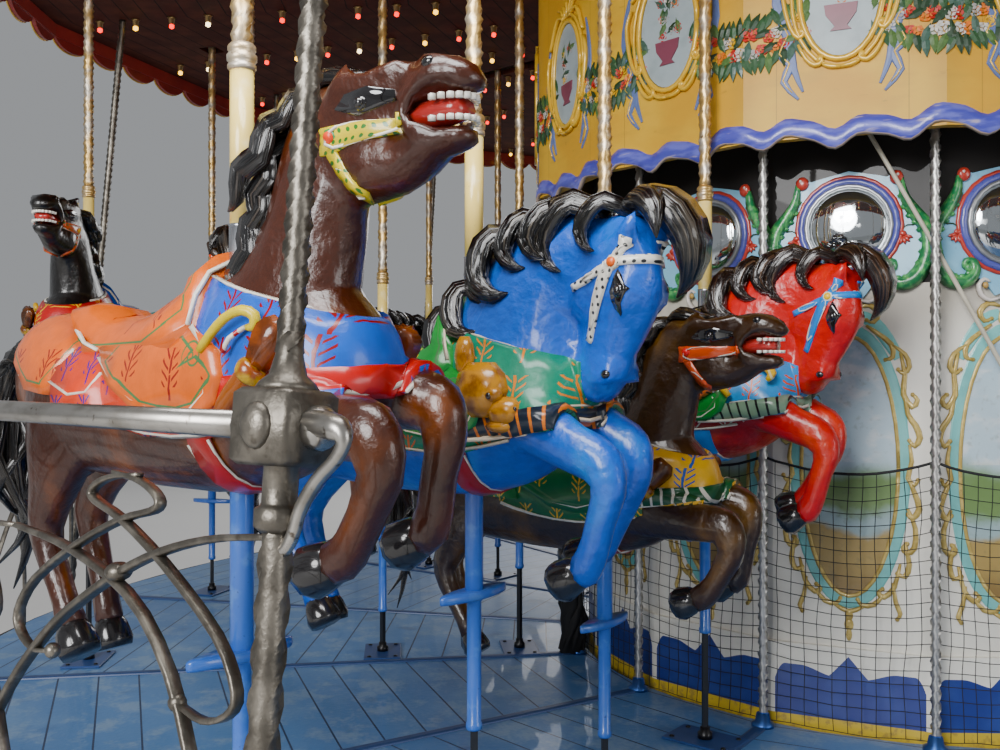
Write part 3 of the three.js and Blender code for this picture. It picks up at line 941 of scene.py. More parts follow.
def mane(form, turn):
    """Locks from the crest down both sides of the neck, and along its back where the head is raised."""
    crest = [Vector((x, 0, z)) for x, z in CREST[form]]
    on_head = 2 if form == "bowed" else 0
    made = []
    for i, at in enumerate(crest):
        along = (crest[min(i + 1, len(crest) - 1)] - crest[max(i - 1, 0)]).normalized()
        out = Vector((along.z, 0, -along.x))
        for side, share in ((-1, 1.0), (1, 0.85), (0, 0.9)) if form == "high" else ((-1, 1.0), (1, 0.85)):
            size = share * (0.95 + 0.18 * sin(i * 2.3 + side))
            path = [at + out * (a * size) + along * (b * size + 0.012 * side) + Vector((0, side * c * min(1, size), 0))
                    for a, b, c in LOCKS[form]]
            if i < on_head:
                path = [turn @ p for p in path]
            made.append(lock(path, LOCK_RADII[form] * size, 60 * (side or 1)))
    if form == "bowed":
        forelock = mm((
            (460, 0, 1740), (520, 20, 1765), (575, 50, 1730), (600, 75, 1660), (585, 85, 1590), (550, 80, 1545),
        ))
        made.append(lock([turn @ Vector(p) for p in forelock], 0.05, 40, flat=0.75))
        made.append(lock([turn @ Vector((x, -0.4 * y, z + 0.005)) for x, y, z in forelock[:4]], 0.034, -30))
    else:
        for side in (-1, 1):
            made.append(lock([(0.25, side * 0.01, 1.83), (0.29, side * 0.03, 1.845), (0.345, side * 0.03, 1.835),
                              (0.4, side * 0.018, 1.832)], 0.022, 40))
    return made


def tail():
    made = []
    for i, (y, drop, curl) in enumerate(mm(((-30, 500, 40), (30, 460, -30), (0, 560, 20), (-10, 400, -50)))):
        path = [
            Vector((-0.84, y * 0.4, 1.33)),
            Vector((-0.905, y * 0.8, 1.36)),
            Vector((-0.965 - 0.006 * i, y + curl * 0.4, 1.3)),
            Vector((-0.965 + 0.01 * i, y - curl * 0.6, 1.3 - drop * 0.42)),
            Vector((-0.925 - 0.012 * i, y + curl, 1.3 - drop * 0.75)),
            Vector((-0.955, y - curl, 1.3 - drop)),
        ]
        made.append(lock(path, 0.042, 120))
    return made


def jaws():
    """Rows of teeth and a red mouth between the open jaws."""
    teeth = []
    for z, high in ((1.756, 0.0095), (1.7205, 0.0085)):
        for i in range(-5, 6):
            angle = radians(i * 16)
            at = (0.556 + 0.064 * cos(angle), 0.041 * sin(angle), z)
            teeth.append(ball(at, (0.0085, 0.0085, high), 5, 3))
    inside = mm(((485, 1735, 16, 34), (530, 1738, 25, 36), (570, 1739, 24, 34), (605, 1739, 18, 26)))
    return merged(*teeth), loft(inside, 8, 2)


# Ornament behind the shoulder, on both sides of each horse, by row


def smooth_tube(path, radii, sides=8, lobes=0, depth=0.0, flat=1.0):
    reach = [float(r[0]) for r in spline([(r,) for r in radii], 2)]
    return tube(curve(path, 2), reach, sides, lobes, depth, 0, flat)


# Each tube of an ornament: its path and radii, its sides and strands, its finish and the names of its colours
SWORD = (
    (mm(((150, 170, 1360), (190, 168, 1392), (240, 155, 1410), (285, 135, 1405), (310, 130, 1375), (295, 135, 1352))),
     (0.016, 0.017, 0.018, 0.018, 0.016, 0.008), (8,), BAND, "gilt", "gilt_ribs"),
    (mm(((115, 175, 1400), (135, 185, 1375), (150, 185, 1345), (180, 178, 1300))),
     (0.008, 0.016, 0.016, 0.01), (8,), PIPING, "gilt", "gilt"),
    (mm(((140, 178, 1350), (80, 186, 1315), (20, 188, 1275), (-40, 185, 1235))),
     (0.022, 0.023, 0.02, 0.012), (8,), STRAP, "wood", "wood_ribs"),
)
HORN = (
    (mm((
        (110, 172, 1345), (140, 172, 1372), (180, 168, 1402), (215, 158, 1415), (238, 148, 1405), (235, 146, 1386),
        (218, 150, 1385),
    )), (0.009, 0.009, 0.0095, 0.01, 0.011, 0.01, 0.006), (8,), PIPING, "gilt", "gilt"),
    (mm(((218, 152, 1385), (195, 170, 1365), (180, 172, 1340))),
     (0.005, 0.005, 0.005), (8,), BAND, "piping", "girth"),
    (mm(((155, 172, 1205), (200, 180, 1250), (240, 178, 1285), (262, 174, 1306))),
     (0.012, 0.018, 0.021, 0.022), (10,), ORNAMENT, "glow", "wood"),
    (mm(((252, 176, 1295), (258, 175, 1301), (268, 173, 1311), (274, 171, 1317))),
     (0.022, 0.028, 0.028, 0.022), (10,), ORNAMENT, "wood", "gilt"),
    (mm(((270, 172, 1313), (288, 165, 1340), (305, 155, 1370), (318, 145, 1390))),
     (0.016, 0.026, 0.032, 0.02), (14, 7, 0.22, 0.7), ORNAMENT, "wood", "wood_ribs"),
)
CUB = mm((
    ((155, 150, 1335), (78, 50, 75)), ((225, 145, 1285), (52, 40, 40)), ((215, 150, 1250), (45, 30, 18)),
    ((100, 150, 1415), (28, 22, 55)), ((205, 170, 1325), (28, 20, 20)),
))


def shoulder_ornament(row):
    """Shapes with their finish and the names of their colours."""
    parts = []
    for side in (-1, 1) if row == 1 else ():
        for (x, y, z), radii in CUB:
            parts.append((ball((x, side * y, z), radii, 10, 6), ORNAMENT, "gilt", "gilt_ribs"))
        for (x, y, z), reach in mm((((205, 187, 1322), 9), ((265, 165, 1292), 6))):
            parts.append((ball((x, side * y, z), (reach, reach * 0.6, reach), 8, 6), EYE_BLACK, "coat", "coat"))
    for path, radii, sides, *colors in {1: (), 3: SWORD}.get(row, HORN):
        for side in (-1, 1):
            parts.append((smooth_tube([(x, side * y, z) for x, y, z in path], radii, *sides), *colors))
    return parts


def pole_parts():
    """The pole above the back, with its collar and barley twist, and the tube and footrest below, by finish."""
    top = CEILING_BOTTOM - FLOOR_TOP + 0.27
    sleeve = turned(((0.026, 1.36), (0.026, 1.6), (0.0275, 1.605)), 16)
    smooth = turned(((0.0245, 1.6), (0.0245, 1.925)), 16)
    collar = turned(mm((
        (24, 1915), (29, 1920), (29, 1928), (25, 1931), (30, 1936), (30.5, 1948), (25, 1953), (28.5, 1957),
        (28.5, 1966), (23, 1972),
    )), 14)
    twist = tube([Vector((0, 0, 1.96 + (top - 1.96) * i / 54)) for i in range(55)], 0.0225, 8, 2, 0.09, 360 * 9)
    wall = mm((
        (19, 384), (21.5, 388), (21.5, 400), (19, 404), (19, 715), (24, 722), (24, 1080), (19, 1110), (19, 1150),
        (14, 1150), (14, 384),
    ))
    sliding = torus([[polar(radius, 30 * s, z) for s in range(12)] for radius, z in wall])
    rest = []
    for z, inset in (
        (0.746, None), (0.746, 0.004), (0.742, 0), (0.728, 0), (0.724, 0.004), (0.724, None), (0.746, None)
    ):
        rest.append([
            Vector((deep * 0.0235, across * 0.0235, z)) if inset is None
            else Vector((deep * (0.036 - inset) * (1 - 0.45 * abs(across) ** 1.6), across * (0.13 - inset), z))
            for across, deep in round_ring(16)
        ])
    lower = merged(sliding, rings(rest, False))
    return (sleeve, POLE_SLEEVE), (smooth, POLE_YELLOW), (collar, BRASS), (twist, BRASS), (lower, TUBE_BLUE)


FORMS = ("high", "bowed", "high", "bowed")
# How large the horses of each row are and how far they hang below the first row's
SIZES = (1.0, 1.0, 0.92, 1.0)
DROPS = (0.0, 0.07, 0.03, 0.07)


def horse_shapes(row):
    """All shapes of one row's horse: each with its finish, the names of its two colours and perhaps its outline."""
    form = FORMS[row]
    turn = head_turn(form)
    body = horse_carving(form)
    chest, band = chest_outlines(form)
    parts = [(body, COAT, "coat", "glow"), (hooves(form), HOOF, "coat", "glow")]
    parts += [(shape, HAIR, "hair", "hair_light") for shape in mane(form, turn) + tail()]
    loops, slim = [], []
    layers = (
        (GIRTH, 0.007, STRAP, "girth", "girth", slim),
        (UNDER_CLOTH, 0.009, CLOTH, "rear", "rear_marks", loops),
        (REAR_FLAP, 0.014, CLOTH, "rear", "rear_marks", loops),
        (REAR_PAD, pad_lift, SADDLE_PAINT, "pad", "pad_marks", loops),
        (chest, 0.011, CLOTH, "chest", "chest_marks", loops),
        (band, 0.017, BAND, "band", "band_marks", loops),
        (SADDLE_FLAP, 0.021, SADDLE_PAINT, "saddle", "saddle_marks", loops),
        (SEAT, saddle_lift, SADDLE_PAINT, "saddle", "saddle_marks", loops),
    )
    for i, (outline, lift, finish, ground, trim, edged) in enumerate(layers):
        shape, edges = laid_cloth(body, outline, lift)
        parts.append((shape, finish, ground, trim, outline))
        covers = [layer[0] for layer in layers[i + 1 :]] or [SADDLE_FLAP]
        edged += uncovered(edges, covers)
    for outline in HEAD_STRAPS[form]:
        shape, edges = turned_patch(body, outline, 0.006, turn)
        parts.append((shape, STRAP, "strap", "strap_marks"))
        slim += edges
    parts.append((piping(loops, 0.0058), PIPING, "piping", "piping"))
    parts.append((piping(slim, 0.0032, 0.028), PIPING, "strap_edge", "strap_edge"))
    parts.append((turned_patch(body, EYE_PATCHES[form], 0.002, turn)[0], EYE_BLACK, "coat", "coat"))
    tree = BVHTree.FromPolygons(*body)
    for side in (-1, 1):
        for (x, z, reach), outer, inner in (
            (ROSETTES[form], (PIPING, "rosette_rim"), (PIPING, "rosette")),
            (EYES[form], (EYE_BLACK, "coat"), (EYE_BLACK, "coat")),
        ):
            hit, normal, _, _ = tree.ray_cast(turn @ Vector((x, side * 1.0, z)), turn.to_3x3() @ Vector((0, -side, 0)))
            parts.append((facing_ball(hit, normal, reach, 0.01, 0.0), outer[0], outer[1], outer[1]))
            parts.append((facing_ball(hit, normal, reach * 0.68, 0.012, 0.004), inner[0], inner[1], inner[1]))
        x, y, z = NOSTRILS[form]
        parts.append((moved(ball((x, side * y, z), (0.015, 0.009, 0.012), 8, 5), turn), EYE_BLACK, "coat", "coat"))
        if form == "bowed":
            for y, radii, detail, finish in (
                (0.043, (0.009, 0.009, 0.032), (8, 5), EYE_BLACK), (0.048, (0.005, 0.007, 0.014), (5, 3), TEETH)
            ):
                parts.append((moved(ball((0.372, side * y, 1.385), radii, *detail), turn), finish, "coat", "coat"))
    if form == "high":
        teeth, inside = jaws()
        parts += [(teeth, TEETH, "coat", "coat"), (inside, MOUTH, "coat", "coat")]
    parts += shoulder_ornament(row)
    return parts + [(shape, finish, "coat", "coat") for shape, finish in pole_parts()]


def facing_ball(at, normal, radius, depth, lift):
    """A domed button on a surface."""
    turn = normal.to_track_quat("Z", "Y").to_matrix().to_4x4()
    return moved(ball((0, 0, lift), (radius, radius, depth), 9, 4), Matrix.Translation(at) @ turn)


def deepened(color):
    """A colour with more strength and a little less light."""
    middle = sum(color) / 3
    return tuple(max(0.0, (middle + (c - middle) * 1.25) * 0.82) for c in color)


def srgb(code):
    """A colour from its six hex digits, made linear."""
    made = []
    for i in (0, 2, 4):
        value = int(code[i : i + 2], 16) / 255
        made.append(value / 12.92 if value <= 0.04045 else ((value + 0.055) / 1.055) ** 2.4)
    return tuple(made)


# The "glow" colour is the coat's painted highlight, and the ground of one shoulder ornament; the second hair colour is
# the hair's painted highlight
SCHEME_KEYS = (
    "coat", "glow", "hair", "hair_light", "chest", "chest_marks", "band", "band_marks", "saddle", "saddle_marks",
    "rear", "rear_marks", "pad", "pad_marks", "piping", "strap", "strap_marks", "strap_edge", "girth", "rosette",
    "rosette_rim", "wood", "wood_ribs", "gilt", "gilt_ribs",
)
SCHEMES = {
    "brown": (
        "3c1a0a 96561c 070607 4a423c 2466c4 8a0c24 b8200f b8200f e07408 8a0c06 "
        "d9541c 3a2c8a e0741a 8a0c06 f0ece0 d6c21c 2f7030 f0ece0 b02a20 e45a14 "
        "2f8a50 8a4a18 42200a dcc624 8a6a14"
    ),
    "sky": (
        "0f68c8 4aa0ec 080809 5a544c 1f8468 d8884a 1c2632 d88040 168a3c e0c83c "
        "1f8468 d8701c b8301c e0c83c f0e2cc f0ede4 26282c f0ede4 a8251c e8741a "
        "f0e4c8 8a5a24 4a2c10 c08a34 6a3c0c"
    ),
    "bay": (
        "34200f 8a6430 0e0a08 4e443a e8b80c 2a5cb0 145230 ece8dc 1a6a3a dcaa30 "
        "1a6a3a e8b80c b02010 e8b80c f0ece0 d8601c d8601c f0ece0 a8251c e44010 "
        "e44010 7a4a1c 3a200c dcb52c 8a5a14"
    ),
    "orange": (
        "c83408 f07028 140c0a 5e4838 549cdc e0683a 84a08a 101418 1f8a3c ece8d8 "
        "b0241a ece8d8 d8a01c a8201c f0ece0 4a8cd4 4a8cd4 f0ece0 4a90dc f0c818 "
        "f0ece0 dc7c24 241008 e8c038 f0e4bc"
    ),
    "black": (
        "0e0b0a 3e2c20 060606 3a342f b0200f e0b420 1f58a8 ece9dd 1f58a8 e0b420 "
        "1a6a3a e0b420 b0200f e0b420 f0ece0 c8601c 2a6a3a f0ece0 b0200f e0b420 "
        "b0200f 6a3c18 2f1a0a d9b220 8a5a14"
    ),
    "cream": (
        "bfa468 e8d4a0 4a2e14 8a6030 1f7a84 e0b420 a81c10 ece9dd 1f58a8 e6c85a "
        "b0200f e0b420 1f7a84 ece9dd f0ece0 1f7a84 e0b420 f0ece0 a81c10 d8601c "
        "1f58a8 7a4a1c 3a200c d9b220 8a5a14"
    ),
    "grey": (
        "7c848e c0c4c8 1e2024 5a5c60 c84810 e0b420 1a6a3a ece9dd 6e1c60 e6c85a "
        "1f58a8 ece9dd c84810 e0b420 f0ece0 b0200f e0b420 f0ece0 1a6a3a e0b420 "
        "1f58a8 6a3c18 2f1a0a d9b220 8a5a14"
    ),
    "teal": (
        "1c8480 6cc0b0 e6dcc0 b8a070 d8a01c b0200f 1f58a8 ece9dd b0200f e6c85a "
        "d8a01c 1f58a8 b0200f e0b420 f0ece0 ece6d4 b0200f b0200f b0200f d8601c "
        "ece6d4 7a4a1c 3a200c d9b220 8a5a14"
    ),
}
# The scheme of each horse by rank and row
STABLE = (
    ("cream", "bay", "grey", "black"),
    ("bay", "orange", "black", "sky"),
    ("grey", "brown", "cream", "bay"),
    ("sky", "black", "orange", "cream"),
    ("black", "bay", "brown", "grey"),
    ("brown", "sky", "bay", "orange"),
    ("cream", "grey", "black", "brown"),
    ("orange", "cream", "sky", "bay"),
)
BETWEEN_SCHEMES = ("grey", "teal")


def stand_horse(name, body, radius, angle, phase, scheme, base):
    """A copy of a row's horse in its own colours, stood at its place on the ride."""
    mesh, local, keys = base
    mesh = mesh.copy()
    turn = radians(angle + 90)
    c, s = cos(turn), sin(turn)
    centre = polar(radius, angle, FLOOR_TOP + phase * STROKE)
    spot = np.empty_like(local)
    spot[:, 0] = local[:, 0] * c - local[:, 1] * s + centre.x
    spot[:, 1] = local[:, 0] * s + local[:, 1] * c + centre.y
    spot[:, 2] = local[:, 2] + centre.z
    mesh.vertices.foreach_set("co", spot.ravel())
    colors = dict(zip(SCHEME_KEYS, (deepened(srgb(code)) for code in SCHEMES[scheme].split())))
    table = np.array([(*colors[key], 1.0) for key in SCHEME_KEYS])
    for attribute, column in (("ground", 0), ("trim", 1)):
        stored = mesh.color_attributes.new(attribute, "FLOAT_COLOR", "POINT")
        stored.data.foreach_set("color", table[keys[:, column]].ravel())
    mesh.update()
    return place(mesh, name + "_carved", body, "horse_paint", name)


def horse_base(row):
    """A row's horse as one mesh, with its own coordinates and the colour names of each point."""
    piece = Piece()
    keys, carves, edges = [], [], []
    fit = Matrix.Translation((0, 0, -DROPS[row])) @ Matrix.Scale(SIZES[row], 4)
    for shape, finish, ground, trim, *outline in horse_shapes(row):
        on_pole = finish in (POLE_SLEEVE, POLE_YELLOW, BRASS, TUBE_BLUE)
        piece.add(shape if on_pole else moved(shape, fit), finish)
        keys += [(SCHEME_KEYS.index(ground), SCHEME_KEYS.index(trim))] * len(shape[0])
        carves += [tuple(p) for p in shape[2 if len(shape) > 2 else 0]]
        edges += edge_distances(shape[0], outline[0]) if outline else [1.0] * len(shape[0])
    local = np.array([tuple(p) for p in piece.points])
    mesh = piece.mesh(f"horse_row{row + 1}")
    mesh.attributes.new("carve", "FLOAT_VECTOR", "POINT").data.foreach_set("vector", np.array(carves).ravel())
    mesh.attributes.new("edge", "FLOAT", "POINT").data.foreach_set("value", edges)
    faced_out(mesh)
    return mesh, local, np.array(keys)


def edge_distances(points, outline):
    """How far each point lies inside an outline, seen from the side."""
    corners = np.array(outline)
    along = np.roll(corners, -1, 0) - corners
    along /= np.linalg.norm(along, axis=1)[:, None]
    places = np.array([(p[0], p[2]) for p in points])
    offset = places[:, None, :] - corners[None, :, :]
    return np.abs(offset[:, :, 0] * along[:, 1] - offset[:, :, 1] * along[:, 0]).min(1).tolist()


def body_of(name):
    return next(body for body, nodes in frame["record"]["behaviour"]["bodies"].items() if name in nodes)


def make_horses():
    bases = [horse_base(row) for row in range(4)]
    for rank in range(RANKS):
        for row in range(ABREAST[rank]):
            name = f"horse_rank{rank + 1}_row{row + 1}"
            phase = REST_PHASES[rank % 2][row]
            scheme, angle = STABLE[rank][row], RANK_STEP * rank
            stand_horse(name, body_of(name), ROW_RADII[row], angle, phase, scheme, bases[row])
    for i, angle in enumerate(BETWEEN_ANGLES):
        name = f"horse_between_{i + 1}"
        stand_horse(name, body_of(name), ROW_RADII[0], angle, -1, BETWEEN_SCHEMES[i], bases[0])


# Repeated things, grown by node trees


class Grown:
    """A geometry tree with named inputs, which turns a host mesh into the repeated thing."""

    def __init__(self, name, **inputs):
        self.tree = bpy.data.node_groups.new(name, "GeometryNodeTree")
        sockets = self.tree.interface
        for way in ("INPUT", "OUTPUT"):
            sockets.new_socket("Geometry", in_out=way, socket_type="NodeSocketGeometry")
        kinds = {float: "NodeSocketFloat", bpy.types.Material: "NodeSocketMaterial"}
        self.given = {}
        for label, value in inputs.items():
            made = sockets.new_socket(label, in_out="INPUT", socket_type=kinds[type(value)])
            self.given[made.identifier] = value
        self.source = self.tree.nodes.new("NodeGroupInput")
        self.sink = self.tree.nodes.new("NodeGroupOutput")

    def node(self, kind, settings=None, values=(), output=0):
        return added_node(self.tree, kind, settings, values).outputs[output]

    def finish(self, geometry):
        solid = self.node("GeometryNodeRealizeInstances", None, {0: geometry})
        values = {"Geometry": solid, "Material": self.source.outputs["Finish"]}
        self.tree.links.new(self.node("GeometryNodeSetMaterial", None, values), self.sink.inputs[0])
        return self

    def grow(self, host):
        """The finished mesh grown from a host mesh."""
        return evaluated(host, ("NODES", {"node_group": self.tree, **self.given}))


def host_mesh(points, edges=(), **attributes):
    """A mesh of loose points or edges, with attributes of one, three or four numbers a point."""
    mesh = bpy.data.meshes.new("host")
    mesh.from_pydata([tuple(p) for p in points], list(edges), [])
    kinds = {1: ("FLOAT", "value"), 3: ("FLOAT_VECTOR", "vector"), 4: ("FLOAT_COLOR", "color")}
    for name, values in attributes.items():
        values = np.array(values, float)
        kind, key = kinds[values.size // len(points)]
        mesh.attributes.new(name, kind, "POINT").data.foreach_set(key, values.ravel())
    return mesh


def cords(name, radius, finish):
    """Round cords along the edges of the host."""
    made = Grown(name, Radius=float(radius), Finish=finish)
    lines = made.node("GeometryNodeMeshToCurve", None, {"Mesh": made.source.outputs[0]})
    values = {"Resolution": 3, "Radius": made.source.outputs["Radius"]}
    ring = made.node("GeometryNodeCurvePrimitiveCircle", None, values)
    values = {"Curve": lines, "Profile Curve": ring, "Fill Caps": True}
    return made.finish(made.node("GeometryNodeCurveToMesh", None, values))


def bulbs(name, radius, finish):
    """Lamp bulbs on the host's points."""
    made = Grown(name, Radius=float(radius), Finish=finish)
    values = {"Radius": made.source.outputs["Radius"], "Subdivisions": 1}
    glass = made.node("GeometryNodeMeshIcoSphere", None, values)
    glass = made.node("GeometryNodeSetShadeSmooth", None, {"Geometry": glass})
    values = {"Points": made.source.outputs[0], "Instance": glass}
    return made.finish(made.node("GeometryNodeInstanceOnPoints", None, values))


def scattered(name, petals, finish):
    """Copies of a small mesh on the host's points, turned and sized by the attributes "turn" and "size"."""
    made = Grown(name, Finish=finish)
    turn = made.node("GeometryNodeInputNamedAttribute", {"data_type": "FLOAT_VECTOR"}, {"Name": "turn"})
    size = made.node("GeometryNodeInputNamedAttribute", {"data_type": "FLOAT"}, {"Name": "size"})
    shape = bpy.data.objects.new(name + "_shape", petals)
    return made.finish(made.node("GeometryNodeInstanceOnPoints", None, {
        "Points": made.source.outputs[0],
        "Instance": made.node("GeometryNodeObjectInfo", None, {"Object": shape}, 4),
        "Rotation": made.node("FunctionNodeEulerToRotation", None, {0: turn}),
        "Scale": size,
    }))


# Places on the flat bays of a ring. Along a bay u runs to a viewer's right, d is out from the face.


def bay_frame(radius, lead, bay):
    middle = lead + BAY_STEP * (bay + 0.5)
    out = polar(1, middle)
    face = radius * cos(radians(BAY_STEP / 2))
    return Matrix((
        (-out.y, 0, out.x, out.x * face),
        (out.x, 0, out.y, out.y * face),
        (0, 1, 0, 0),
        (0, 0, 0, 1),
    ))


def mirrored(shape):
    points, faces = shape
    return [Vector((-p[0], p[1], p[2])) for p in points], [list(face)[::-1] for face in faces]


def flat_plate(outline, front, back=0.0):
    """A plate in u and z between two depths, with a convex or simple outline."""
    count = len(outline)
    points = [Vector((u, z, front)) for u, z in outline] + [Vector((u, z, back)) for u, z in outline]
    faces = [list(range(count)), [*range(count, 2 * count)][::-1]]
    faces += [[i, (i + 1) % count, (i + 1) % count + count, i + count] for i in range(count)]
    return points, faces


def ribbon(path, width, front, back=0.0, taper=0.0, steps=2):
    """A flat painted or carved band along a path of u and z."""
    fine = spline(path, steps)
    count = len(fine)
    rows = []
    for i, (u, z) in enumerate(fine):
        before, after = fine[max(i - 1, 0)], fine[min(i + 1, count - 1)]
        along = Vector((after[0] - before[0], after[1] - before[1])).normalized()
        share = i / (count - 1)
        half = width / 2 * (1 - taper * abs(2 * share - 1) ** 2)
        out = Vector((-along.y, along.x)) * half
        rows.append([
            Vector((u + out.x, z + out.y, back)),
            Vector((u - out.x, z - out.y, back)),
            Vector((u - out.x * 0.75, z - out.y * 0.75, (front + back) / 2 + (front - back) * 0.3)),
            Vector((u, z, front)),
            Vector((u + out.x * 0.75, z + out.y * 0.75, (front + back) / 2 + (front - back) * 0.3)),
        ])
    return rings(rows)


def ellipse(centre, half_wide, half_high, count=40, first=0.0, last=360.0):
    made = []
    for i in range(count):
        angle = radians(first + (last - first) * i / (count - 1))
        made.append((centre[0] + half_wide * cos(angle), centre[1] + half_high * sin(angle)))
    return made


# Twisted posts, hand rails and wrought iron


def post_at(angle, height):
    return polar(POST_FOOT_RADIUS - POST_LEAN * height, angle, FLOOR_TOP + height)


def barley(start, end, radius, lobes, depth, pitch, sides=14, ring_step=0.014):
    """A bar with a barley twist, whose strands turn once in a pitch."""
    length = (end - start).length
    count = max(int(length / ring_step), 8)
    path = [start.lerp(end, i / count) for i in range(count + 1)]
    return tube(path, radius, sides, lobes, depth, 360 * length / pitch)


def on_post(shape, angle, height):
    """Sets a shape that is made round the Z axis, with X outwards, on a post at a height."""
    place_at = post_at(angle, height)
    lean = (post_at(angle, 1) - post_at(angle, 0)).normalized()
    out = polar(1, angle)
    out = (out - lean * out.dot(lean)).normalized()
    side = lean.cross(out)
    turn = Matrix((
        (out.x, side.x, lean.x, place_at.x),
        (out.y, side.y, lean.y, place_at.y),
        (out.z, side.z, lean.z, place_at.z),
        (0, 0, 0, 1),
    ))
    return moved(shape, turn)


RISING_BOW = mm(((5, 60), (35, 420), (100, 754), (200, 931), (350, 1000), (503, 1020)))
FALLING_BOW = mm(((0, 1084), (100, 1063), (200, 1018), (300, 945), (400, 845), (500, 680), (600, 400), (650, 60)))
CURLED_STRAP = mm((
    (130, 822), (170, 815), (205, 835), (215, 870), (180, 935), (85, 1015), (0, 1068), (-57, 1090), (-68, 1105),
    (-52, 1122), (-20, 1135), (25, 1141),
))
STRAP_MIDDLE = 0.255
GRAB_HANDLE = mm((
    (0, 1235), (65, 1237), (110, 1233), (130, 1218), (118, 1195), (80, 1165), (48, 1125), (35, 1090), (20, 1070),
    (0, 1065),
))


def bevelled_block(half_x, half_y, low, high, bevel=0.008):
    rows = []
    for z, inset in ((low, bevel), (low + bevel, 0), (high - bevel, 0), (high, bevel)):
        x, y = half_x - inset, half_y - inset
        rows.append([Vector((sx * (x - cx), sy * (y - cy), z)) for sx, sy, cx, cy in (
            (1, 1, 0, bevel), (1, 1, bevel, 0), (-1, 1, bevel, 0), (-1, 1, 0, bevel),
            (-1, -1, 0, bevel), (-1, -1, bevel, 0), (1, -1, bevel, 0), (1, -1, 0, bevel))])
    return rings(rows)


def post_shapes(angle):
    top = CEILING_BOTTOM - FLOOR_TOP
    metal, smooth = [], []
    metal.append(barley(post_at(angle, 0.03), post_at(angle, 1.102), 0.0222, 4, 0.1, 0.24, 8, 0.018))
    metal.append(barley(post_at(angle, 1.33), post_at(angle, top), 0.0187, 4, 0.1, 0.14, 8, 0.0135))
    metal.append(on_post(turned(mm(((62, 0), (62, 10), (45, 16), (30, 32), (24, 45))), 14), angle, 0.0))
    collar = mm(((24, -35), (32, -28), (33, -4), (26, 0), (24, 4), (24, 52), (30, 56), (30, 66)))
    metal.append(on_post(turned(collar, 14), angle, 1.125))
    metal.append(on_post(bevelled_block(0.053, 0.053, 0.0, 0.103), angle, 1.178))
    metal.append(on_post(turned(mm(((46, 0), (38, 12), (26, 22), (19, 50), (18.5, 80))), 14), angle, 1.278))
    boss = Matrix.Translation((0.053, 0, 0.052)) @ Matrix.Rotation(radians(90), 4, "Y")
    metal.append(on_post(moved(ball((0, 0, 0), (0.032, 0.026, 0.016), 16, 8), boss), angle, 1.178))
    for side in (-1, 1):
        socket = Matrix.Translation((0, side * 0.05, 0.052)) @ Matrix.Rotation(radians(-90 * side), 4, "X")
        smooth.append(on_post(moved(turned(mm(((30, 0), (30, 20), (26, 26), (22, 30))), 16), socket), angle, 1.178))
    return metal, smooth


def along_bay(left, right, share, height):
    return post_at(left, height).lerp(post_at(right, height), share)


def iron_bar(stations, place_on, wide, thick, steps=7, pointed=0.0):
    """A forged flat bar through stations of share and height, wide across the panel and thin in its plane."""
    path = [place_on(share, height) for share, height in spline(stations, steps)]
    across = (place_on(1, 0) - place_on(0, 0)).cross(place_on(0, 1) - place_on(0, 0)).normalized()
    count = len(path) - 1
    rows = []
    for i, at in enumerate(path):
        along = (path[min(i + 1, count)] - path[max(i - 1, 0)]).normalized()
        up = along.cross(across)
        share = 1 - pointed * abs(2 * i / count - 1) ** 3
        rows.append([at + across * (wide / 2 * share * a) + up * (thick / 2 * share * b) for a, b in (
            (1, 0.5), (0.8, 1), (-0.8, 1), (-1, 0.5), (-1, -0.5), (-0.8, -1), (0.8, -1), (1, -0.5))])
    return rings(rows)


def railing_shapes():
    """The bay of the first rank: both posts, the hand rail, the grab handles and the ironwork."""
    left, right = POST_LEAD - BAY_STEP, POST_LEAD
    metal, worn = [], []
    for angle in (left, right):
        more, smooth = post_shapes(angle)
        metal += more
        worn += smooth
    worn.append(tube([along_bay(left, right, s, RAIL_HEIGHT) for s in (0.03, 0.5, 0.97)], 0.02, 14))
    chord = (post_at(left, 0) - post_at(right, 0)).length
    for near, far in ((left, right), (right, left)):
        def spot(share, height, near=near, far=far):
            return along_bay(near, far, share, height)

        metal.append(iron_bar(RISING_BOW, spot, 0.022, 0.012, 4, 0.3))
        metal.append(iron_bar(FALLING_BOW, spot, 0.022, 0.012, 4, 0.3))
        path = [spot(-out / chord, height) for out, height in spline(GRAB_HANDLE, 3)]
        radii = [0.0185 if i < 8 else max(0.0095, 0.0185 - 0.0036 * (i - 7)) for i in range(len(path))]
        worn.append(tube(path, radii, 10))
        for side in (-1, 1):
            stations = [(STRAP_MIDDLE + side * offset, height) for offset, height in CURLED_STRAP]
            metal.append(iron_bar(stations, spot, 0.02, 0.01, 3, 0.3))
            end = spot(STRAP_MIDDLE + side * 0.125, 0.824)
            metal.append(ball(end, (0.014, 0.014, 0.014), 10, 7))
        clip = spot(STRAP_MIDDLE, 0.985)
        metal.append(ball(clip, (0.022, 0.022, 0.016), 10, 7))
    return merged(*metal), merged(*worn)


def iron_finish():
    made = Finish("bronze_iron", (0.12, 0.108, 0.09), 0.38, 0.85)
    wear = made.noise(18, 5)
    made.paint(
        (wear.eased(0.42, 0.66) * 0.7, (0.27, 0.245, 0.205)),
        (made.noise(50, 4).eased(0.58, 0.74) * 0.6, (0.06, 0.048, 0.036)),
    )
    made.gloss(0.26 + made.noise(30, 3) * 0.28)
    made.relief(made.noise(90, 3), 0.0012)
    return made.material


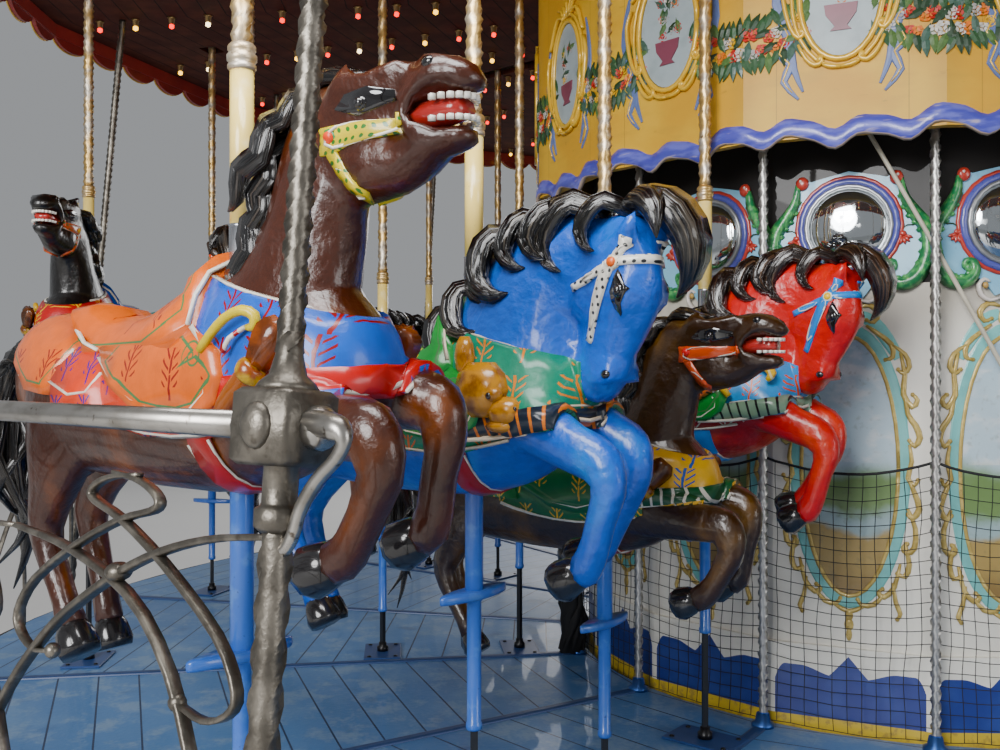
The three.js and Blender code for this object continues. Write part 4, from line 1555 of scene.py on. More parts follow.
def make_railings():
    metal, worn = railing_shapes()
    iron = iron_finish()
    steel = worn_finish(
        "worn_steel", (0.42, 0.4, 0.37), 0.24, 0.95, (9, 5, (1, 1, 3)), (0.45, 0.7, 0.7, (0.2, 0.18, 0.15)),
        (70, 3, 0.62, 0.76, 1, (0.1, 0.08, 0.06)), gloss=(0.18, 0.25)
    )
    for rank in range(RANKS):
        turn = Matrix.Rotation(radians(RANK_STEP * rank), 4, "Z")
        piece = Piece()
        piece.add(moved(metal, turn), iron)
        piece.add(moved(worn, turn), steel)
        piece.put(f"twisted_posts_{rank + 1}", "turning_frame", "bronze_iron", f"posts_and_railing_{rank + 1}")


# Inner rods and the net that hangs on them


def rope_finish():
    made = Finish("rope_steel", (0.44, 0.43, 0.41), 0.34, 0.85)
    wear = made.noise(12, 5)
    z = made.axes()[2]
    made.paint(
        (wear.eased(0.4, 0.7) * 0.6, (0.62, 0.61, 0.58)),
        (made.noise(45, 4).eased(0.56, 0.74) * 0.7, (0.16, 0.15, 0.14)),
        ((z < FLOOR_TOP + 0.055), (0.05, 0.13, 0.4)),
    )
    made.gloss(0.26 + wear * 0.25)
    return made.material


def net_lines(bay):
    """The net's cords in one bay, which sags between its rods, with its top and first side."""
    columns, rows = 12, 20
    start = polar(ROD_FOOT_RADIUS, ROD_LEAD + BAY_STEP * bay)
    end = polar(ROD_FOOT_RADIUS, ROD_LEAD + BAY_STEP * (bay + 1))
    out = polar(1, ROD_LEAD + BAY_STEP * (bay + 0.5))
    low, high = FLOOR_TOP + 0.03, FLOOR_TOP + 1.0
    points = []
    for r in range(rows + 1):
        for c in range(columns + 1):
            s = c / columns
            t = r / rows
            droop = 4 * s * (1 - s)
            z = low + (high - low) * t - droop * (0.012 + 0.045 * t)
            weave = noise.noise(Vector((bay * 7.3 + s * 5, t * 7, 0.4)))
            lean = 0.012 * noise.noise(Vector((bay * 3.1 + s * 3, t * 5, 4.4)))
            at = start.lerp(end, s) - out * (0.004 + droop * 0.02 * (1 - abs(2 * t - 1)) + weave * 0.006)
            bent = (end - start).normalized() * lean * (1 if 0 < c < columns else 0)
            points.append(at + Vector((0, 0, z + weave * 0.005)) + bent)
    knot = lambda c, r: points[r * (columns + 1) + c]
    lines = [[knot(c, r) for c in range(columns + 1)] for r in range(rows + 1)]
    lines += [[knot(c, r) for r in range(rows + 1)] for c in range(columns + 1)]
    return lines, lines[rows], lines[rows + 1]


def make_rods_and_net():
    steel = rope_finish()
    net_cord = plain_finish("net_cord", (0.012, 0.012, 0.013), 0.75)
    piece = Piece()
    for bay in range(BAYS):
        angle = ROD_LEAD + bay * BAY_STEP
        foot, head = polar(ROD_FOOT_RADIUS, angle, FLOOR_TOP), polar(ROD_HEAD_RADIUS, angle, CEILING_BOTTOM)
        piece.add(barley(foot, head, 0.017, 3, 0.15, 0.135, 6, 0.018), steel)
        piece.add(turned(((0.042, FLOOR_TOP + 0.001), (0.042, FLOOR_TOP + 0.014), (0.028, FLOOR_TOP + 0.022),
                          (0.023, FLOOR_TOP + 0.05)), 16, (foot.x, foot.y)), steel)
    # A stay runs down across two bays behind the rods and is clipped to the outer two
    cream = plain_finish("stay_cream", (0.5, 0.46, 0.36), 0.4)
    first, last = ROD_LEAD + 10 * BAY_STEP, ROD_LEAD + 12 * BAY_STEP
    stay = []
    for i in range(31):
        share = i / 30
        radius = 1.462 + 0.024 * abs(2 * share - 1) ** 6
        stay.append(polar(radius, first + (last - first) * share, 3.23 - 2.18 * share))
    piece.add(tube(stay, 0.008, 10), cream)
    for end in (stay[0], stay[-1]):
        piece.add(ball(end, (0.02, 0.02, 0.014), 12, 8), steel)
    piece.put("rope_twist_rods", "turning_frame", "rod_metal", "inner_rods_and_net")
    points, edges, borders = [], [], Piece()
    for bay in range(BAYS):
        lines, top, side = net_lines(bay)
        for line in lines:
            edges += [(len(points) + i, len(points) + i + 1) for i in range(len(line) - 1)]
            points += line
        borders.add(tube(top, 0.005, 6), net_cord)
        borders.add(tube(side, 0.0045, 6), net_cord)
    net = cords("net_cords", 0.0017, net_cord).grow(host_mesh(points, edges))
    place(net, "safety_net", "turning_frame", "rod_metal", "inner_rods_and_net")
    gathered = polar(ROD_FOOT_RADIUS + 0.028, ROD_LEAD + 8 * BAY_STEP, FLOOR_TOP)
    for k in range(5):
        folds = [gathered + polar(0.026, 72 * k + 30 * r, 0.015 + 0.075 * r) for r in range(9)]
        radii = [0.03 + 0.012 * sin(2.1 * r + k) for r in range(8)] + [0.008]
        borders.add(tube(folds, radii, 16, 4, 0.25, 200), net_cord)
    borders.put("net_borders", "turning_frame", "rod_metal", "inner_rods_and_net")


# Platform


def board_finish():
    """Worn blue boards laid across each bay, with dark seams."""
    made = Finish("blue_boards", (0.055, 0.17, 0.4), 0.42, 0.0, Coat_Weight=0.15)
    _, across, z, bay = in_bay(made, ROD_LEAD)
    board = across / 0.162
    shade = (board.math("FLOOR") * 12.9898 + bay.math("FLOOR") * 4.7).math("SINE") * 0.5 + 0.5
    gap = abs(board % 1.0 - 0.5) > 0.478
    grain = made.noise(9, 5)
    fine = made.noise(60, 4)
    worn = (grain + fine * 0.35).eased(0.62, 0.86)
    scuff = made.noise(2.2, 5).eased(0.48, 0.72)
    rod = z > FLOOR_TOP + 0.004
    made.paint(
        (shade * 0.55, (0.085, 0.225, 0.47)),
        (scuff * 0.55, (0.15, 0.28, 0.47)),
        (worn * 0.6, (0.24, 0.34, 0.46)),
        (made.noise(5, 5).eased(0.6, 0.75) * 0.5, (0.03, 0.08, 0.2)),
        (gap, (0.01, 0.03, 0.09)),
        (rod, (0.01, 0.011, 0.014)),
    )
    made.gloss(0.28 + grain * 0.3)
    made.relief((grain + fine) * 0.35 - gap * 0.8, 0.003)
    return made.material


def horse_places():
    made = [(ROW_RADII[0], angle) for angle in BETWEEN_ANGLES]
    for rank in range(RANKS):
        made += [(radius, RANK_STEP * rank) for radius in ROW_RADII[: ABREAST[rank]]]
    return made


def make_platform():
    boards = board_finish()
    for quarter in range(4):
        dress(f"platform_quarter_{quarter + 1}", boards)
    seam_blue = plain_finish("seam_blue", (0.02, 0.055, 0.17), 0.4)
    plate_blue = plain_finish("plate_blue", (0.02, 0.06, 0.2), 0.35)
    rod_black = plain_finish("rod_black", (0.012, 0.012, 0.014), 0.3, 0.4)
    piece = Piece()
    for bay in range(BAYS):
        angle = ROD_LEAD + BAY_STEP * bay
        out = polar(1, angle)
        side = Vector((-out.y, out.x, 0))
        rows = []
        for radius in (ROD_FOOT_RADIUS + 0.035, 4.33):
            centre = polar(radius, angle, FLOOR_TOP)
            rows.append([centre + side * w + Vector((0, 0, z)) for w, z in mm((
                (-24, 0.5), (-22, 6), (-12, 9), (12, 9), (22, 6), (24, 0.5),
            ))])
        piece.add(rings(rows), seam_blue, False)
    for radius, angle in horse_places():
        turn = Matrix.Translation(polar(radius, angle, FLOOR_TOP)) @ Matrix.Rotation(radians(angle), 4, "Z")
        piece.add(moved(bevelled_block(0.085, 0.13, 0.0005, 0.01, 0.003), turn), plate_blue, False)
        piece.add(moved(turned(mm(((26, 10), (26, 30), (17.5, 36), (17.5, 50))), 16), turn), rod_black)
        for x, y in mm(((60, 100), (60, -100), (-60, 100), (-60, -100))):
            piece.add(moved(ball((x, y, 0.011), (0.01, 0.01, 0.005), 8, 6), turn), rod_black)
    rim = []
    for s in range(96):
        angle = 3.75 * s
        rim.append([polar(4.352, angle, z) if out else polar(4.366, angle, z) for z, out in (
            (FLOOR_TOP - 0.062, True), (FLOOR_TOP - 0.06, False), (FLOOR_TOP - 0.004, False),
            (FLOOR_TOP + 0.002, True))])
    piece.add(rings(rim + rim[:1], False), rod_black)
    piece.put("floor_fittings", "turning_frame", "blue_boards")


# Fixed centre: panels with painted scrolls, skirting and mirrors


def in_bay(made, lead):
    """On the flat bays of a ring: metres across from a bay's middle, metres out to it, z, and the bay's number."""
    radius, angle, z = made.polar()
    bay = (angle - lead) / BAY_STEP
    turn = (bay % 1.0 - 0.5) * radians(BAY_STEP)
    return radius * turn.math("SINE"), radius * turn.math("COSINE"), z, bay


def panel_finish():
    """Cream boards with grey stains, darker towards the mirror boards and near black behind them: painted shade under
    and behind the boards, patchy with the stains.
    """
    made = Finish("cream_panels", (0.8, 0.78, 0.7), 0.45, 0.0, Coat_Weight=0.15)
    u, _, z, _ = in_bay(made, ROD_LEAD)
    stain = made.noise(3.2, 6, (1, 1, 0.5))
    streak = made.noise(14, 4, (1, 1, 0.12))
    edge = abs(u).eased(0.22, 0.272)
    made.paint(
        (stain.eased(0.45, 0.72) * 0.5, (0.58, 0.56, 0.5)),
        (streak.eased(0.55, 0.75) * 0.35, (0.44, 0.42, 0.38)),
        (edge * 0.4, (0.5, 0.47, 0.4)),
        # Painted shade: darker up to the mirror boards, patchy with the stains, and near black with no gloss behind
        # them
        ((z.eased(1.72, 1.99)) * 0.75 * (0.4 + stain), (0.3, 0.26, 0.2)),
        (z > 2.01, (0.012, 0.01, 0.009)),
    )
    made.gloss(0.45 + (z > 2.01) * 0.5)
    made.relief(stain * 0.4 + streak * 0.3, 0.002)
    return made.material


def skirting_finish():
    """Navy skirting with a waved top and a peak at mid bay over a yellow strip."""
    made = Finish("navy_skirting", (0.8, 0.78, 0.7), 0.4, 0.0, Coat_Weight=0.2)
    u, _, z, _ = in_bay(made, ROD_LEAD)
    away = abs(u)
    peak = (0.068 - away).highest(0.0) * 1.15
    rise = (away.eased(0.05, 0.17)) * 0.03
    corner = (away - 0.225).highest(0.0)
    top = 0.572 + rise + peak - corner * corner * 42
    navy = (z < top) * (away < 0.262)
    worn = made.noise(8, 5)
    strip = z < 0.415
    made.paint(
        (worn.eased(0.5, 0.75) * 0.5, (0.55, 0.53, 0.48)),
        (navy, made.mix(worn.eased(0.4, 0.75) * 0.7, (0.018, 0.035, 0.22), (0.035, 0.07, 0.3))),
        (strip, made.mix(made.noise(40, 4).eased(0.5, 0.7), (0.62, 0.44, 0.03), (0.38, 0.26, 0.05))),
    )
    made.relief(worn, 0.0015)
    return made.material


def scene_fill_finish():
    """A plain graded fill: pale sky over green over ochre, clouded like an old backdrop."""
    made = Finish("graded_fill", (0.42, 0.55, 0.62), 0.45, 0.0, Coat_Weight=0.2)
    drift, z = made.noise(5, 6), made.axes()[2]
    level = z + (drift - 0.5) * 0.22
    cloud = made.noise(7, 5, (1, 1, 1.8)).eased(0.52, 0.68) * (z > 1.36)
    made.paint(
        (z.eased(1.6, 1.85) * 0.5, (0.2, 0.36, 0.52)),
        (cloud * 0.7, (0.68, 0.7, 0.7)),
        (1 - level.eased(1.3, 1.4), (0.14, 0.24, 0.07)),
        (1 - level.eased(1.16, 1.22), (0.3, 0.42, 0.44)),
        (1 - level.eased(1.09, 1.13), (0.36, 0.25, 0.07)),
        (1 - level.eased(0.9, 1.02), (0.22, 0.14, 0.04)),
        (made.noise(40, 3).eased(0.55, 0.75) * 0.3, (0.1, 0.11, 0.06)),
    )
    return made.material


OVAL_MIDDLE = (0.0, 1.345)
OVAL = (0.163, 0.47)


def scroll_edge():
    """The scrolled gold outer edge of the right half of an oval, as paths of u and z with widths."""
    return mm((
        (((30, 1925), (70, 1935), (100, 1905), (85, 1872), (60, 1880)), 17), (((60, 1860), (100, 1830), (145, 1790),
        (150, 1745), (125, 1735)), 17), (((145, 1790), (190, 1755), (205, 1710), (185, 1685), (168, 1700)), 15),
        (((175, 1760), (190, 1680), (185, 1610), (215, 1565), (232, 1590), (216, 1610)), 17), (((188, 1630),
        (200, 1540), (225, 1500), (240, 1455), (222, 1425), (205, 1445)), 18), (((205, 1430), (213, 1370),
        (200, 1310), (222, 1285), (234, 1305)), 15), (((205, 1300), (225, 1250), (238, 1200), (215, 1165),
        (200, 1180)), 18), (((200, 1200), (225, 1130), (222, 1060), (195, 1040), (185, 1060), (198, 1075)), 17),
        (((190, 1080), (205, 1000), (190, 955), (165, 965)), 16), (((175, 1000), (155, 915), (120, 875), (100, 890),
        (115, 905)), 16), (((150, 930), (160, 860), (175, 820), (165, 800)), 14), (((120, 885), (85, 845), (45, 840),
        (30, 860)), 16),
    ))


def cartouche_shapes():
    """Ribbons in u, z and depth: gold scrolls, the turquoise ground and the fill."""
    gold, ground, fill = [], [], []
    oval = ellipse(OVAL_MIDDLE, OVAL[0] + 0.006, OVAL[1] + 0.006, 37)
    gold.append(ribbon(oval, 0.016, 0.0075, 0.001, steps=1))
    fill.append(flat_plate(ellipse(OVAL_MIDDLE, *OVAL, 48)[:-1], 0.0025, 0.0005))
    band = ellipse(OVAL_MIDDLE, OVAL[0] + 0.026, OVAL[1] + 0.03, 37)
    ground.append(ribbon(band, 0.042, 0.0042, 0.0005, steps=1))
    for path, width in scroll_edge():
        shape = ribbon(path, width * 1.3, 0.009, 0.001, 0.5)
        gold += [shape, mirrored(shape)]
        at = path[-1]
        for side in (-1, 1):
            gold.append(ball((side * at[0], at[1], 0.004), (0.0095, 0.0095, 0.006), 6, 3))
    for side in (-1, 1):
        wash = [(side * u, z) for u, z in mm(((30, 1900), (80, 1875), (130, 1810), (170, 1740)))]
        ground.append(ribbon(wash, 0.05, 0.0045, 0.0005, 0.3))
    for z, w in ((0.8, 0.022), (0.765, 0.026), (0.728, 0.014)):
        gold.append(ball((0, z, 0.003), (w / 2 + 0.004, 0.024, 0.007), 12, 7))
    gold.append(ribbon([(-0.05, 0.835), (0, 0.812), (0.05, 0.835)], 0.02, 0.008, 0.001, 0.4))
    fan = mm(((0, 1890, 20), (20, 1885, 16), (-20, 1885, 16)))
    for u, z, w in fan:
        gold.append(ball((u, z, 0.003), (w, 0.03, 0.007), 12, 7))
    return merged(*gold), merged(*ground), merged(*fill)


def mirror_glass_finish():
    made = Finish("convex_mirror", (0.6, 0.64, 0.66), 0.06, 0.98)
    spots = made.noise(24, 5)
    made.paint((spots.eased(0.56, 0.72) * 0.45, (0.22, 0.23, 0.23)))
    made.gloss(0.05 + spots.eased(0.55, 0.75) * 0.3)
    return made.material


# The right half of a mirror's wing board in u and z, and its acanthus edge
WING = mm((
    (0, 1985), (50, 1962), (75, 1995), (115, 2030), (145, 2005), (190, 2000), (235, 2030), (262, 2090), (270, 2160),
    (255, 2220), (225, 2265), (200, 2310), (185, 2370), (165, 2405), (130, 2395), (90, 2405), (0, 2425),
))
WING_EDGE = mm((
    (178, 2385), (190, 2320), (222, 2262), (254, 2215), (268, 2155), (258, 2085), (228, 2032), (185, 2008),
    (145, 2020), (124, 2052), (132, 2082), (155, 2085), (158, 2064), (146, 2060),
))


def mirror_shapes():
    """One bay of the mirror boards, as pairs of shape and finish name."""
    right = list(WING)
    outline = right + [(-u, z) for u, z in right[-2:0:-1]]
    parts = [(flat_plate(outline, 0.014, 0.0), "wing")]
    for side in (-1, 1):
        edge = [(side * u, z) for u, z in WING_EDGE]
        fine = spline(edge, 3)
        path = [(u, z, 0.018) for u, z in fine]
        count = len(path) - 1
        radii = [0.0215 * (0.45 + 0.75 * sin(pi * min(i / count * 1.15, 1) ** 0.8)) for i in range(count + 1)]
        parts.append((tube(path, radii, 8, 4, 0.16, 260 * side), "leaf"))
        for i in range(2, count - 13, 2):
            u, z = fine[i]
            lean = math.atan2(z - 2.2, u - side * 0.14)
            tip = Vector((u - 0.02 * cos(lean), z - 0.02 * sin(lean), 0.018))
            parts.append((ball(tip, (0.015, 0.011, 0.01), 6, 4), "leaf"))
        parts.append((ball((side * 0.146, 2.06, 0.022), (0.016, 0.016, 0.012), 8, 5), "leaf"))
        # The flower on its stem, and the bud on top
        stem = [(side * u, z, 0.017) for u, z in mm(((222, 2215), (200, 2217), (185, 2205), (182, 2190)))]
        parts.append((tube(curve([Vector(p) for p in stem], 2), 0.003, 4), "stem"))
        for k in range(6):
            angle = radians(200 + 28 * k)
            at = (side * 0.184 + 0.02 * cos(angle), 2.183 + 0.021 * sin(angle), 0.019)
            turn = Matrix.Translation(at) @ Matrix.Rotation(angle, 4, "Z")
            parts.append((moved(ball((0, 0, 0), (0.017, 0.007, 0.006), 6, 4), turn), "red"))
        parts.append((ball((side * 0.184, 2.187, 0.02), (0.014, 0.011, 0.007), 8, 4), "red"))
        parts.append((ball((side * 0.163, 2.39, 0.02), (0.024, 0.026, 0.014), 12, 6), "red"))
        parts.append((ball((side * 0.168, 2.398, 0.031), (0.006, 0.007, 0.005), 5, 3), "pearl"))
        low = [(side * u, z) for u, z in mm(((35, 1955), (70, 1945), (100, 1965), (108, 2000), (90, 2020), (72, 2010)))]
        parts.append((ribbon(low, 0.017, 0.024, 0.004, 0.4), "pearl"))
        parts.append((ball((side * 0.086, 1.998, 0.018), (0.011, 0.013, 0.01), 8, 4), "ochre"))
    drop = [(0.0, 2.02), (0.008, 1.97), (0.0, 1.915)]
    parts.append((ribbon(drop, 0.05, 0.022, 0.002, 0.85), "leaf"))
    # The mirror, its grey rim, blue ring and red outline
    centre = Matrix.Translation((0, 2.22, 0))
    for profile, kind in (
        (mm(((190, 4), (190, 18), (184, 24), (176, 22), (176, 4))), "red"),
        (mm(((178, 4), (178, 26), (170, 33), (156, 30), (152, 4))), "ring"),
        (mm(((155, 4), (155, 34), (149, 39), (141, 35), (138, 4))), "rim"),
    ):
        parts.append((moved(turned(profile, 24), centre), kind))
    dome = [(0.14 * cos(radians(a)), 0.022 + 0.038 * sin(radians(a)))
            for a in (0, 14, 30, 48, 66, 80, 87)]
    parts.append((moved(turned([(0.14, 0.012)] + dome, 32), centre), "glass"))
    for k in range(24):
        angle = radians(15 * k + 7)
        at = Matrix.Translation((0.1665 * cos(angle), 2.22 + 0.1665 * sin(angle), 0.029))
        mark = ball((0, 0, 0), (0.0085, 0.0028, 0.005), 6, 3)
        parts.append((moved(mark, at @ Matrix.Rotation(angle, 4, "Z")), "dark_blue"))
    return parts


def make_centre():
    dress("centre_panels", panel_finish())
    dress("kick_board", skirting_finish())
    gold, ground, fill = cartouche_shapes()
    scrolls = worn_finish(
        "gold_scroll", (0.42, 0.3, 0.07), 0.35, 0.15, (28, 4), (0.4, 0.7, 0.8, (0.66, 0.5, 0.16)),
        (80, 3, 0.6, 0.8, 1, (0.22, 0.14, 0.03)), 0.002, Coat_Weight=0.2
    )
    turquoise = plain_finish("turquoise", (0.16, 0.48, 0.46), 0.42, Coat_Weight=0.2)
    graded = scene_fill_finish()
    painted = Piece()
    finishes = {
        "wing": worn_finish(
            "wing_blue", (0.17, 0.42, 0.6), 0.4, 0.0, (10, 5), (0.4, 0.7, 0.5, (0.27, 0.54, 0.7)),
            (45, 4, 0.6, 0.78, 0.6, (0.1, 0.24, 0.34)), 0.0015, Coat_Weight=0.25
        ),
        "leaf": worn_finish(
            "acanthus_green", (0.012, 0.16, 0.05), 0.34, 0.0, (34, 4), (0.45, 0.62, 1, (0.07, 0.33, 0.09)),
            (70, 3, 0.62, 0.74, 0.7, (0.36, 0.5, 0.16)), 0.005, Coat_Weight=0.35
        ),
        "stem": plain_finish("stem_dark", (0.02, 0.05, 0.02), 0.4),
        "red": plain_finish("flower_red", (0.42, 0.035, 0.02), 0.32, Coat_Weight=0.4),
        "pearl": plain_finish("scroll_white", (0.66, 0.6, 0.55), 0.35, Coat_Weight=0.3),
        "ochre": plain_finish("scroll_ochre", (0.42, 0.26, 0.07), 0.4),
        "ring": plain_finish("ring_blue", (0.07, 0.08, 0.34), 0.32, Coat_Weight=0.4),
        "dark_blue": plain_finish("ring_marks", (0.02, 0.02, 0.12), 0.4),
        "rim": plain_finish("mirror_rim", (0.36, 0.37, 0.38), 0.3, 0.7),
        "glass": mirror_glass_finish(),
    }
    mirrors = Piece()
    parts = mirror_shapes()
    for bay in range(BAYS):
        face = bay_frame(DRUM_RADIUS, ROD_LEAD, bay)
        painted.add(moved(fill, face), graded, False)
        painted.add(moved(ground, face), turquoise, False)
        painted.add(moved(gold, face), scrolls)
        for shape, kind in parts:
            mirrors.add(moved(shape, face), finishes[kind], kind != "wing")
    painted.put("painted_cartouches", "centre", "centre_paint")
    mirrors.put("wing_boards_and_mirrors", "centre", "light_blue", "mirror_boards")


# Canopy with its waved ribbon edge, garlands and medallions


def canopy_finish():
    made = Finish("canopy_yellow", (0.56, 0.29, 0.008), 0.55, 0.0)
    u = in_bay(made, ROD_LEAD)[0]
    cloud = made.noise(2.4, 5, (1, 1, 1.6))
    streak = made.noise(9, 4, (0.6, 0.6, 2.2))
    seam = abs(u).near(0.215, 0.0018)
    made.paint(
        (cloud.eased(0.42, 0.66) * 0.75, (0.66, 0.4, 0.02)),
        (streak.eased(0.52, 0.7) * 0.45, (0.48, 0.27, 0.02)),
        (made.noise(16, 5, (1, 1, 3)).eased(0.66, 0.78) * 0.5, (0.24, 0.13, 0.02)),
        (abs(u).eased(0.24, 0.335) * 0.5, (0.4, 0.22, 0.02)),
        (seam * 0.5, (0.2, 0.11, 0.02)),
    )
    made.relief(cloud * 0.5 + streak * 0.3, 0.003)
    return made.material


def canopy_place(share, z, out=0.0):
    """A point on the canopy's flat bays, by the share of a turn."""
    bay = share * BAYS
    whole = math.floor(bay)
    half = CANOPY_RADIUS * sin(radians(BAY_STEP / 2))
    return bay_frame(CANOPY_RADIUS, ROD_LEAD, whole) @ Vector(((bay - whole - 0.5) * 2 * half, z, out))


WAVES = 44


def ribbon_edge():
    """The waved lower edge as one closed band, its face, underside and back, with the kind of each face."""
    rows = []
    for i in range(WAVES * 10):
        share = i / (WAVES * 10)
        phase = 2 * pi * WAVES * share
        wave = 0.021 * sin(phase) + 0.006 * sin(2 * phase + 0.8) + 0.008 * sin(phase * 0.37)
        twist = sin(phase + 1.2)
        top, low = CANOPY_BOTTOM + 0.052 + wave * 0.9, CANOPY_BOTTOM - 0.01 + wave
        fold = 0.01 + 0.006 * twist
        rows.append([canopy_place(share, z, out) for z, out in (
            (top, 0.002), ((top + low) / 2, 0.01 + 0.004 * twist), (low, fold), (low - 0.006, fold - 0.012),
            (low + 0.012, -0.012), (top, -0.012),
        )])
    return torus(rows), [0, 0, 1, 1, 1, 1] * len(rows)


def petal_rose():
    """A small open rose, flattened against its board: rings of petals in a few dozen faces."""
    shapes = []
    for ring, (count, reach, long, lift) in enumerate(((5, 0.58, 0.46, 0.06), (3, 0.26, 0.36, 0.18))):
        for k in range(count):
            angle = 2 * pi * (k + 0.5 * ring) / count
            at = Matrix.Translation((reach * cos(angle), reach * sin(angle), lift)) @ Matrix.Rotation(angle, 4, "Z")
            tilt = Matrix.Rotation(radians(-22 + 4 * ring), 4, "Y")
            shapes.append(moved(ball((0, 0, 0), (long * 0.62, long, 0.1), 4, 3), at @ tilt))
    return merged(*shapes)


def leaf_shape():
    rows = []
    for x, w in mm(((-1000, 20), (-300, 340), (300, 300), (1000, 20))):
        bend = 0.12 * (1 - x * x)
        rows.append([Vector((x, y, bend + lift)) for y, lift in ((w, 0), (0, 0.1), (-w, 0), (0, -0.06))])
    return rings(rows)


def petal_finish():
    made = Finish("painted_roses", (0.5, 0.1, 0.05), 0.42, 0.0, Coat_Weight=0.15)
    made.link(made.shaded(made.stored("petal"), 0.45 + made.noise(110, 3) * 1.0), "Base Color")
    return made.material


ROSE_COLORS = ("b8241a", "d8701c", "c6c2b8", "d8a81e", "a8a4a0", "c23a30")
LEAF_COLORS = ("2c5230", "4a6a34", "3a5a4c", "1e3c22")


def garland_hosts():
    """Roses and leaves along a sagging line in each bay, from medallion to medallion."""
    seed = np.random.default_rng(11)
    roses, leaves = [[], [], [], []], [[], [], [], []]
    for bay in range(BAYS):
        for k in range(26):
            s = (k + 0.5) / 26
            share = (bay + 0.5 + s) / BAYS
            if abs(2 * s - 1) > 0.66:
                continue
            drop = 0.125 * (1 - (2 * s - 1) ** 2)
            for row in range(2):
                z = 2.965 - drop + (row - 0.5) * 0.062 + seed.uniform(-0.014, 0.014)
                wide = 0.7 + 0.55 * (1 - abs(2 * s - 1))
                into = roses if (k + row) % 3 != 1 else leaves
                colors = ROSE_COLORS if into is roses else LEAF_COLORS
                add_spot(into, share, z, seed, colors, (0.026 if into is roses else 0.036) * wide)
            for edge in (-1, 1):
                z = 2.965 - drop + edge * (0.055 + 0.02 * (1 - abs(2 * s - 1))) + seed.uniform(-0.01, 0.01)
                add_spot(leaves, share, z, seed, LEAF_COLORS, 0.04, 90 * edge)
    return roses, leaves


def add_spot(into, share, z, seed, colors, size, lean=None):
    """A place for one rose or leaf on the canopy, facing out."""
    share = share % 1.0
    bay = math.floor(share * BAYS)
    middle = radians(ROD_LEAD + BAY_STEP * (bay + 0.5))
    roll = seed.uniform(-pi, pi) if lean is None else radians(lean + seed.uniform(-35, 35))
    quarter = radians(90)
    facing = Matrix.Rotation(middle, 3, "Z") @ Matrix.Rotation(quarter, 3, "Y") @ Matrix.Rotation(quarter, 3, "Z")
    into[0].append(canopy_place(share, z, 0.003))
    into[1].append(tuple((facing @ Matrix.Rotation(roll, 3, "Z")).to_euler()))
    into[2].append(size)
    into[3].append((*srgb(colors[int(seed.integers(len(colors)))]), 1))


def medallion_shapes():
    """A gold oval frame with scrolls, a blue ribbon behind, and a plain urn of flowers inside."""
    gold, blue, field, motif = [], [], [], []
    middle = (0.0, 2.985)
    field.append(flat_plate(ellipse(middle, 0.125, 0.215, 40)[:-1], 0.006, 0.001))
    for grow, width, front in ((0.012, 0.022, 0.018), (0.038, 0.016, 0.014)):
        gold.append(ribbon(ellipse(middle, 0.125 + grow, 0.215 + grow, 31), width, front, 0.002, steps=1))
    for side in (-1, 1):
        for path, width in mm((
            (((170, 3100), (195, 3040), (185, 2950), (165, 2880), (140, 2845), (120, 2860), (135, 2875)), 18),
            (((140, 2820), (115, 2770), (85, 2745), (60, 2755), (70, 2775)), 18), (((30, 3230), (80, 3250),
            (120, 3220), (150, 3160), (170, 3130)), 18), (((60, 2745), (35, 2735), (0, 2730)), 16),
        )):
            gold.append(ribbon([(side * u, z) for u, z in path], width, 0.02, 0.002, 0.4))
        for u, z in ((0.13, 2.868), (0.068, 2.765), (0.035, 3.235)):
            gold.append(ball((side * u, z, 0.01), (0.013, 0.013, 0.011), 8, 4))
        for path in mm((
            ((180, 3170), (205, 3080), (215, 2980), (190, 2900), (170, 2830), (155, 2740), (125, 2660)), ((200, 2900),
            (170, 2860), (200, 2800), (165, 2760), (190, 2700), (140, 2635)),
        )):
            blue.append(ribbon([(side * u, z) for u, z in path], 0.036, 0.006, 0.001, 0.75))
        edge = [(side * u, z) for u, z in mm((
            (200, 2900), (175, 2862), (205, 2800), (170, 2762), (192, 2705), (160, 2660),
        ))]
        gold.append(ribbon(edge, 0.007, 0.01, 0.002, 0.4))
    for k in range(-2, 3):
        fan = [(0.016 * k, 3.235), (0.03 * k, 3.275), (0.045 * k, 3.3 - 0.008 * abs(k))]
        gold.append(ribbon(fan, 0.014, 0.016, 0.002, 0.6))
    urn = mm(((-35, 2855), (35, 2855), (20, 2870), (50, 2910), (55, 2945), (-55, 2945), (-50, 2910), (-20, 2870)))
    motif.append(flat_plate(urn, 0.011, 0.005))
    return merged(*gold), merged(*blue), merged(*field), merged(*motif)


